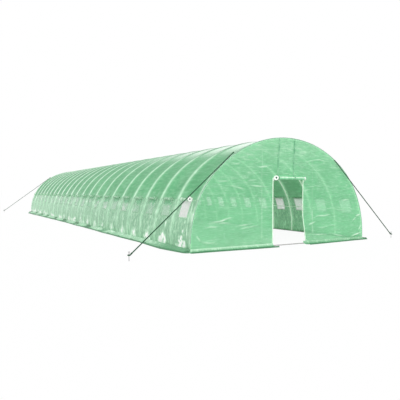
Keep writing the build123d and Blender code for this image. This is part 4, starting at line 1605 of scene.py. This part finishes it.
class TUNNEL_OT_skirts(bpy.types.Operator):
    """Foot of the cover turned out onto the ground"""
    bl_idname = "tunnel.skirts"
    bl_label = "Ground skirts"

    def execute(self, context):
        film = context.scene.tunnel_film
        finish = film_finish(
            "skirt_film", film.skirt_green, film, streaks=(8.0, 3.0, 1.0), whitening=0.4, shade=0.3,
            see_through=film.roof_clear)
        left = sheet_grid("ground_skirt_left", BAY_COUNT * 20, 16, side_skirt_place)
        halves = [sheet_grid("front_skirt_film", 70, 16, end_skirt_place(side)) for side in (-1, 1)]
        for piece in (left, *halves):
            point_outwards(piece, lambda centre: Vector((0, 0, 1)))
        right = copied(left, "ground_skirt_right", TO_RIGHT)
        front = join(halves, "front_skirt_film")
        rear = copied(front, "rear_skirt_film", TO_REAR)
        side_flat = (SIDE_SKIRT_REACH, 2 * HALF_LENGTH)
        end_flat = (END_SKIRT_REACH, 2 * (HALF_WIDTH - HALF_DOOR))
        rows = (
            (left, "skirt_left", side_flat), (right, "skirt_right", side_flat),
            (front, "front_skirt", end_flat), (rear, "rear_skirt", end_flat),
        )
        for piece, node, flat in rows:
            settle(piece, finish, "side_film", [node])
            area = min(sheet_area(piece), flat[0] * flat[1])
        return {"FINISHED"}


# Frame

BOLT_RADIUS = 0.004
BOLT_SPARE = 0.012


def hoop_sleeve(girth, settings):
    """Sleeve where two tubes of the first hoop meet."""
    x, z, nx, nz = arch_point(girth)
    depth = HOOP_INSET + HOOP_RADIUS
    deselect_all()
    bpy.ops.mesh.primitive_cylinder_add(
        vertices=settings.tube_sides, radius=HOOP_RADIUS + settings.sleeve_wall,
        depth=settings.sleeve_length, location=(x - nx * depth, -END_HOOP_Y, z - nz * depth),
        rotation=(0, math.atan2(nz, -nx), 0))
    return bevelled(bpy.context.object, 0.001)


def purlin_clamp(girth, settings):
    """Flat plate with four bolts that holds a purlin under the first hoop."""
    x, z, nx, nz = arch_point(girth)
    width, length, thickness = settings.clamp_size
    depth = HOOP_INSET + 2 * HOOP_RADIUS + 2 * PURLIN_RADIUS + thickness / 2
    reach = depth - HOOP_RADIUS
    turn = math.atan2(nx, nz)
    middle = (x - nx * depth, -END_HOOP_Y, z - nz * depth)
    pieces = [rounded_box(settings.clamp_size, middle, 0.0015, turn=turn)]
    for side in (-1, 1):
        for end in (-1, 1):
            shift = side * width * 0.36
            y = -END_HOOP_Y + end * length * 0.38
            deselect_all()
            bpy.ops.mesh.primitive_cylinder_add(
                vertices=8, radius=BOLT_RADIUS, depth=2 * HOOP_RADIUS + BOLT_SPARE,
                location=(x - nx * reach + nz * shift, y, z - nz * reach - nx * shift),
                rotation=(0, turn, 0))
            bolt = bpy.context.object
            apply_place(bolt)
            pieces.append(bolt)
    return join(pieces, "purlin_clamp")


class TUNNEL_OT_frame(bpy.types.Operator):
    """Round hoop tubes with their sleeves and purlin clamps, and zinc on all tubes"""
    bl_idname = "tunnel.frame"
    bl_label = "Frame"

    def execute(self, context):
        tubes = context.scene.tunnel_frame
        zinc = steel_finish("zinc_tube", tubes.zinc_dull, tubes.zinc_bright, metallic=0.05)
        clamp_zinc = steel_finish("zinc_clamp", tubes.zinc_dull, tubes.zinc_bright, metallic=0.3)
        hoop = arch_tube(HOOP_RADIUS, HOOP_INSET + HOOP_RADIUS, -END_HOOP_Y, LEG_FOOT, tubes.tube_sides)
        strip = (RIDGE_GIRTH - SIDE_GIRTH) / 3
        joints = [SIDE_GIRTH + i * strip for i in range(4)]
        joints += [2 * RIDGE_GIRTH - girth for girth in joints[:3]]
        hoop = join([hoop] + [hoop_sleeve(girth, tubes) for girth in joints], "hoop_tubes")
        repeat_along(smooth(hoop, SHARP_EDGE), BAY_COUNT + 1, BAY)
        parts = [
            f"hoops_{part}_{side}"
            for part in ("lower", "haunch", "shoulder", "crown") for side in ("left", "right")
        ]
        settle(hoop, zinc, "frame_tube", parts)
        places = (PURLIN_GIRTH, RIDGE_GIRTH, 2 * RIDGE_GIRTH - PURLIN_GIRTH)
        clamps = join([purlin_clamp(girth, tubes) for girth in places], "purlin_clamps")
        repeat_along(smooth(clamps, SHARP_EDGE), BAY_COUNT + 1, BAY)
        settle(clamps, clamp_zinc, "frame_tube")
        for name in ("ridge_purlin", "side_purlin_left", "side_purlin_right"):
            finish_node(name, zinc)
        post = dimmed(tubes.zinc_dull, tubes.post_shade)
        finish_node("end_posts", steel_finish("post_zinc", dimmed(post, 0.8), post, metallic=0.05))
        bare = steel_finish("bare_zinc", dimmed(tubes.rail_grey, 0.75), tubes.rail_grey, metallic=0.25)
        for name in ("base_rails_side", "base_rails_end", "ground_pegs"):
            finish_node(name, bare)
        return {"FINISHED"}


# Guy ropes

STRAND_EDGE = math.radians(50)
STEPS_A_TURN = 12


def twisted_rope(start, stop, settings):
    """Laid rope between two points: strands wound round each other."""
    run = stop - start
    turns = run.length / settings.lay_length
    lobe = 1 / math.sin(math.pi / settings.strand_count)
    strand = settings.rope_radius / (1 + lobe)
    deselect_all()
    bpy.ops.mesh.primitive_circle_add(vertices=6, radius=strand, location=(strand * lobe, 0, 0))
    first = bpy.context.object
    apply_place(first)
    lay = first.modifiers.new("lay", "SCREW")
    lay.angle = 2 * math.pi * turns
    lay.screw_offset = run.length
    lay.steps = lay.render_steps = int(turns * STEPS_A_TURN)
    lay.iterations = 1
    apply_all_modifiers(first)
    strands = [first]
    for i in range(1, settings.strand_count):
        turn = Matrix.Rotation(2 * math.pi * i / settings.strand_count, 4, "Z")
        strands.append(copied(first, "strand", turn))
    rope = join(strands, "guy_rope")
    close_shell(rope)
    rope.data.transform(Matrix.Translation(start) @ run.to_track_quat("Z", "Y").to_matrix().to_4x4())
    return smooth(rope, STRAND_EDGE)


def rope_turn(centre, axis, major, minor):
    """One turn of rope round something."""
    deselect_all()
    bpy.ops.mesh.primitive_torus_add(
        major_segments=24, minor_segments=8, major_radius=major, minor_radius=minor, location=centre,
        rotation=axis.to_track_quat("Z", "Y").to_euler())
    turn = bpy.context.object
    apply_place(turn)
    return smooth(turn, ROUND_EDGE)


def guy_rope(top, peg, settings):
    """Rope from a knot to a peg: knot turns, the laid rope, a loop and its whipping."""
    run = (peg - top).normalized()
    across = run.cross(Vector((0, 0, 1))).normalized()
    over = run.cross(across)
    thick = settings.rope_radius
    hold = PEG_RADIUS + thick
    flat = Vector((run.x, run.y, 0)).normalized()
    pieces = [twisted_rope(top, peg - flat * hold, settings)]
    # Axis of each turn of the knot, and its shift along the rope
    turns = ((run, 0.0), (run + over * 0.5, -0.01), (across + run * 0.3, 0.004), (over, 0.008))
    for axis, shift in turns:
        pieces.append(rope_turn(top + run * shift, axis, KNOT_RADIUS - thick * 1.7, thick * 0.7))
    pieces.append(rope_turn(peg, Vector((0, 0, 1)), hold + 0.001, thick * 0.9))
    for i in range(3):
        at = peg - flat * hold - run * (0.03 + i * thick)
        pieces.append(rope_turn(at, run, thick * 0.75, thick * 0.5))
    return join(pieces, "guy_rope")


class TUNNEL_OT_stays(bpy.types.Operator):
    """Guy ropes from the end hoops to the pegs"""
    bl_idname = "tunnel.stays"
    bl_label = "Guy ropes"

    def execute(self, context):
        stay = context.scene.tunnel_stay
        x, z, nx, nz = arch_point(ROPE_TOP_GIRTH)
        left_top = Vector((x + nx * KNOT_RADIUS, -HALF_LENGTH + ROPE_TOP_INSET, z + nz * KNOT_RADIUS))
        left_peg = Vector((-PEG_SPREAD, -HALF_LENGTH - PEG_REACH, ROPE_FOOT_HEIGHT))
        near_top = Vector((-x + nx * KNOT_RADIUS, -HALF_LENGTH - KNOT_RADIUS, z - nz * KNOT_RADIUS))
        near_peg = Vector((NEAR_PEG[0], -HALF_LENGTH - NEAR_PEG[1], ROPE_FOOT_HEIGHT))
        left = guy_rope(left_top, left_peg, stay)
        ropes = [left, guy_rope(near_top, near_peg, stay)]
        ropes += [copied(left, "rear_left", TO_REAR), copied(left, "rear_right", TO_REAR @ TO_RIGHT)]
        settle(join(ropes, "guy_rope_lines"), rope_finish(stay), "guy_rope", ["guy_ropes"])
        return {"FINISHED"}


# Stage

LAMP_SPREAD = math.radians(40)
VIEW_DISTANCE = 500


def floor_finish(settings):
    """Pale floor, nearly plain white where it is seen directly."""
    f = Finish("pale_floor")
    grain = f.noise(f.object_place(), 0.6)
    tint = f.blend(grain, (0.9, 0.9, 0.9, 1), (0.93, 0.93, 0.93, 1))
    matt = f.node("ShaderNodeBsdfDiffuse", Color=tint)
    white = f.node("ShaderNodeEmission")
    path = f.node("ShaderNodeLightPath")
    seen = f.math("MAXIMUM", path.outputs["Is Camera Ray"], path.outputs["Is Glossy Ray"])
    seen = f.math("MAXIMUM", seen, path.outputs["Is Transmission Ray"])
    direct = f.math("LESS_THAN", path.outputs["Transparent Depth"], 0.5)
    share = f.times(f.times(seen, direct), settings.floor_white)
    return f.done(f.mix(share, matt.outputs[0], white.outputs[0]))


def light_world(settings):
    """Soft light from all round, and plain white where it is seen directly or mirrored."""
    world = bpy.data.worlds.new("studio_white")
    world.use_nodes = True
    tree = world.node_tree
    tree.nodes.clear()
    path = tree.nodes.new("ShaderNodeLightPath")
    seen = path.outputs["Is Camera Ray"]
    for name in ("Is Glossy Ray", "Is Transmission Ray"):
        either = tree.nodes.new("ShaderNodeMath")
        either.operation = "MAXIMUM"
        tree.links.new(seen, either.inputs[0])
        tree.links.new(path.outputs[name], either.inputs[1])
        seen = either.outputs[0]
    mix = tree.nodes.new("ShaderNodeMixShader")
    tree.links.new(seen, mix.inputs[0])
    for slot, strength in ((1, settings.sky_strength), (2, 1.0)):
        light = tree.nodes.new("ShaderNodeBackground")
        light.inputs["Color"].default_value = (1, 1, 1, 1)
        light.inputs["Strength"].default_value = strength
        tree.links.new(light.outputs[0], mix.inputs[slot])
    out = tree.nodes.new("ShaderNodeOutputWorld")
    tree.links.new(mix.outputs[0], out.inputs["Surface"])
    bpy.context.scene.world = world


class TUNNEL_OT_stage(bpy.types.Operator):
    """Pale floor, soft light and the camera"""
    bl_idname = "tunnel.stage"
    bl_label = "Stage"

    def execute(self, context):
        stage = context.scene.tunnel_stage
        deselect_all()
        bpy.ops.mesh.primitive_circle_add(
            vertices=64, radius=stage.floor_radius, fill_type="NGON", location=(0, 0, -0.001))
        floor = named(context.object, "ground")
        apply_place(floor)
        floor.data.materials.append(floor_finish(stage))
        light_world(stage)
        # Name, strength, turn in degrees, and whether it casts shadows
        lamps = (
            ("key_light", stage.key_strength, (38, -18, -20), True),
            ("front_fill", stage.fill_strength, (72, 0, -28), False),
        )
        for name, strength, turn, shadow in lamps:
            lamp = bpy.data.objects.new(name, bpy.data.lights.new(name, "SUN"))
            lamp.data.energy = strength
            lamp.data.angle = LAMP_SPREAD
            lamp.data.use_shadow = shadow
            lamp.rotation_euler = [math.radians(angle) for angle in turn]
            context.collection.objects.link(lamp)
        camera = bpy.data.objects.new("camera", bpy.data.cameras.new("camera"))
        camera.data.lens = stage.camera_lens
        camera.data.clip_end = VIEW_DISTANCE
        turn = Matrix.Rotation(stage.camera_yaw, 3, "Z")
        tilt = Matrix.Rotation(math.pi / 2 + stage.camera_pitch, 3, "X")
        roll = Matrix.Rotation(stage.camera_roll, 3, "Z")
        camera.rotation_euler = (turn @ tilt @ roll).to_euler()
        camera.location = stage.camera_place
        context.collection.objects.link(camera)
        context.scene.camera = camera
        context.scene.view_settings.view_transform = "Standard"
        return {"FINISHED"}


class TUNNEL_PT_panel(bpy.types.Panel):
    """Lists the greenhouse's pieces and their settings"""
    bl_label = "Polytunnel"
    bl_idname = "TUNNEL_PT_panel"
    bl_space_type = "VIEW_3D"
    bl_region_type = "UI"
    bl_category = "Polytunnel"

    def draw(self, context):
        for step in STEPS:
            self.layout.operator(step.bl_idname)
        for name, group in SETTINGS.items():
            block = self.layout.box()
            for key in group.__annotations__:
                block.prop(getattr(context.scene, name), key)


STEPS = (
    TUNNEL_OT_stage, TUNNEL_OT_frame, TUNNEL_OT_roof, TUNNEL_OT_sides, TUNNEL_OT_end_walls,
    TUNNEL_OT_doors, TUNNEL_OT_skirts, TUNNEL_OT_stays,
)
SETTINGS = {
    "tunnel_film": FilmSettings,
    "tunnel_window": WindowSettings,
    "tunnel_door": DoorSettings,
    "tunnel_frame": FrameSettings,
    "tunnel_stay": StaySettings,
    "tunnel_stage": StageSettings,
}


def register():
    for group in SETTINGS.values():
        bpy.utils.register_class(group)
    for name, group in SETTINGS.items():
        setattr(bpy.types.Scene, name, PointerProperty(type=group))
    for step in STEPS:
        bpy.utils.register_class(step)
    bpy.utils.register_class(TUNNEL_PT_panel)


def unregister():
    bpy.utils.unregister_class(TUNNEL_PT_panel)
    for step in reversed(STEPS):
        bpy.utils.unregister_class(step)
    for name, group in SETTINGS.items():
        delattr(bpy.types.Scene, name)
        bpy.utils.unregister_class(group)


def main():
    register()
    for step in STEPS:
        group, name = step.bl_idname.split(".")
        getattr(getattr(bpy.ops, group), name)()


if __name__ == "__main__":
    main()
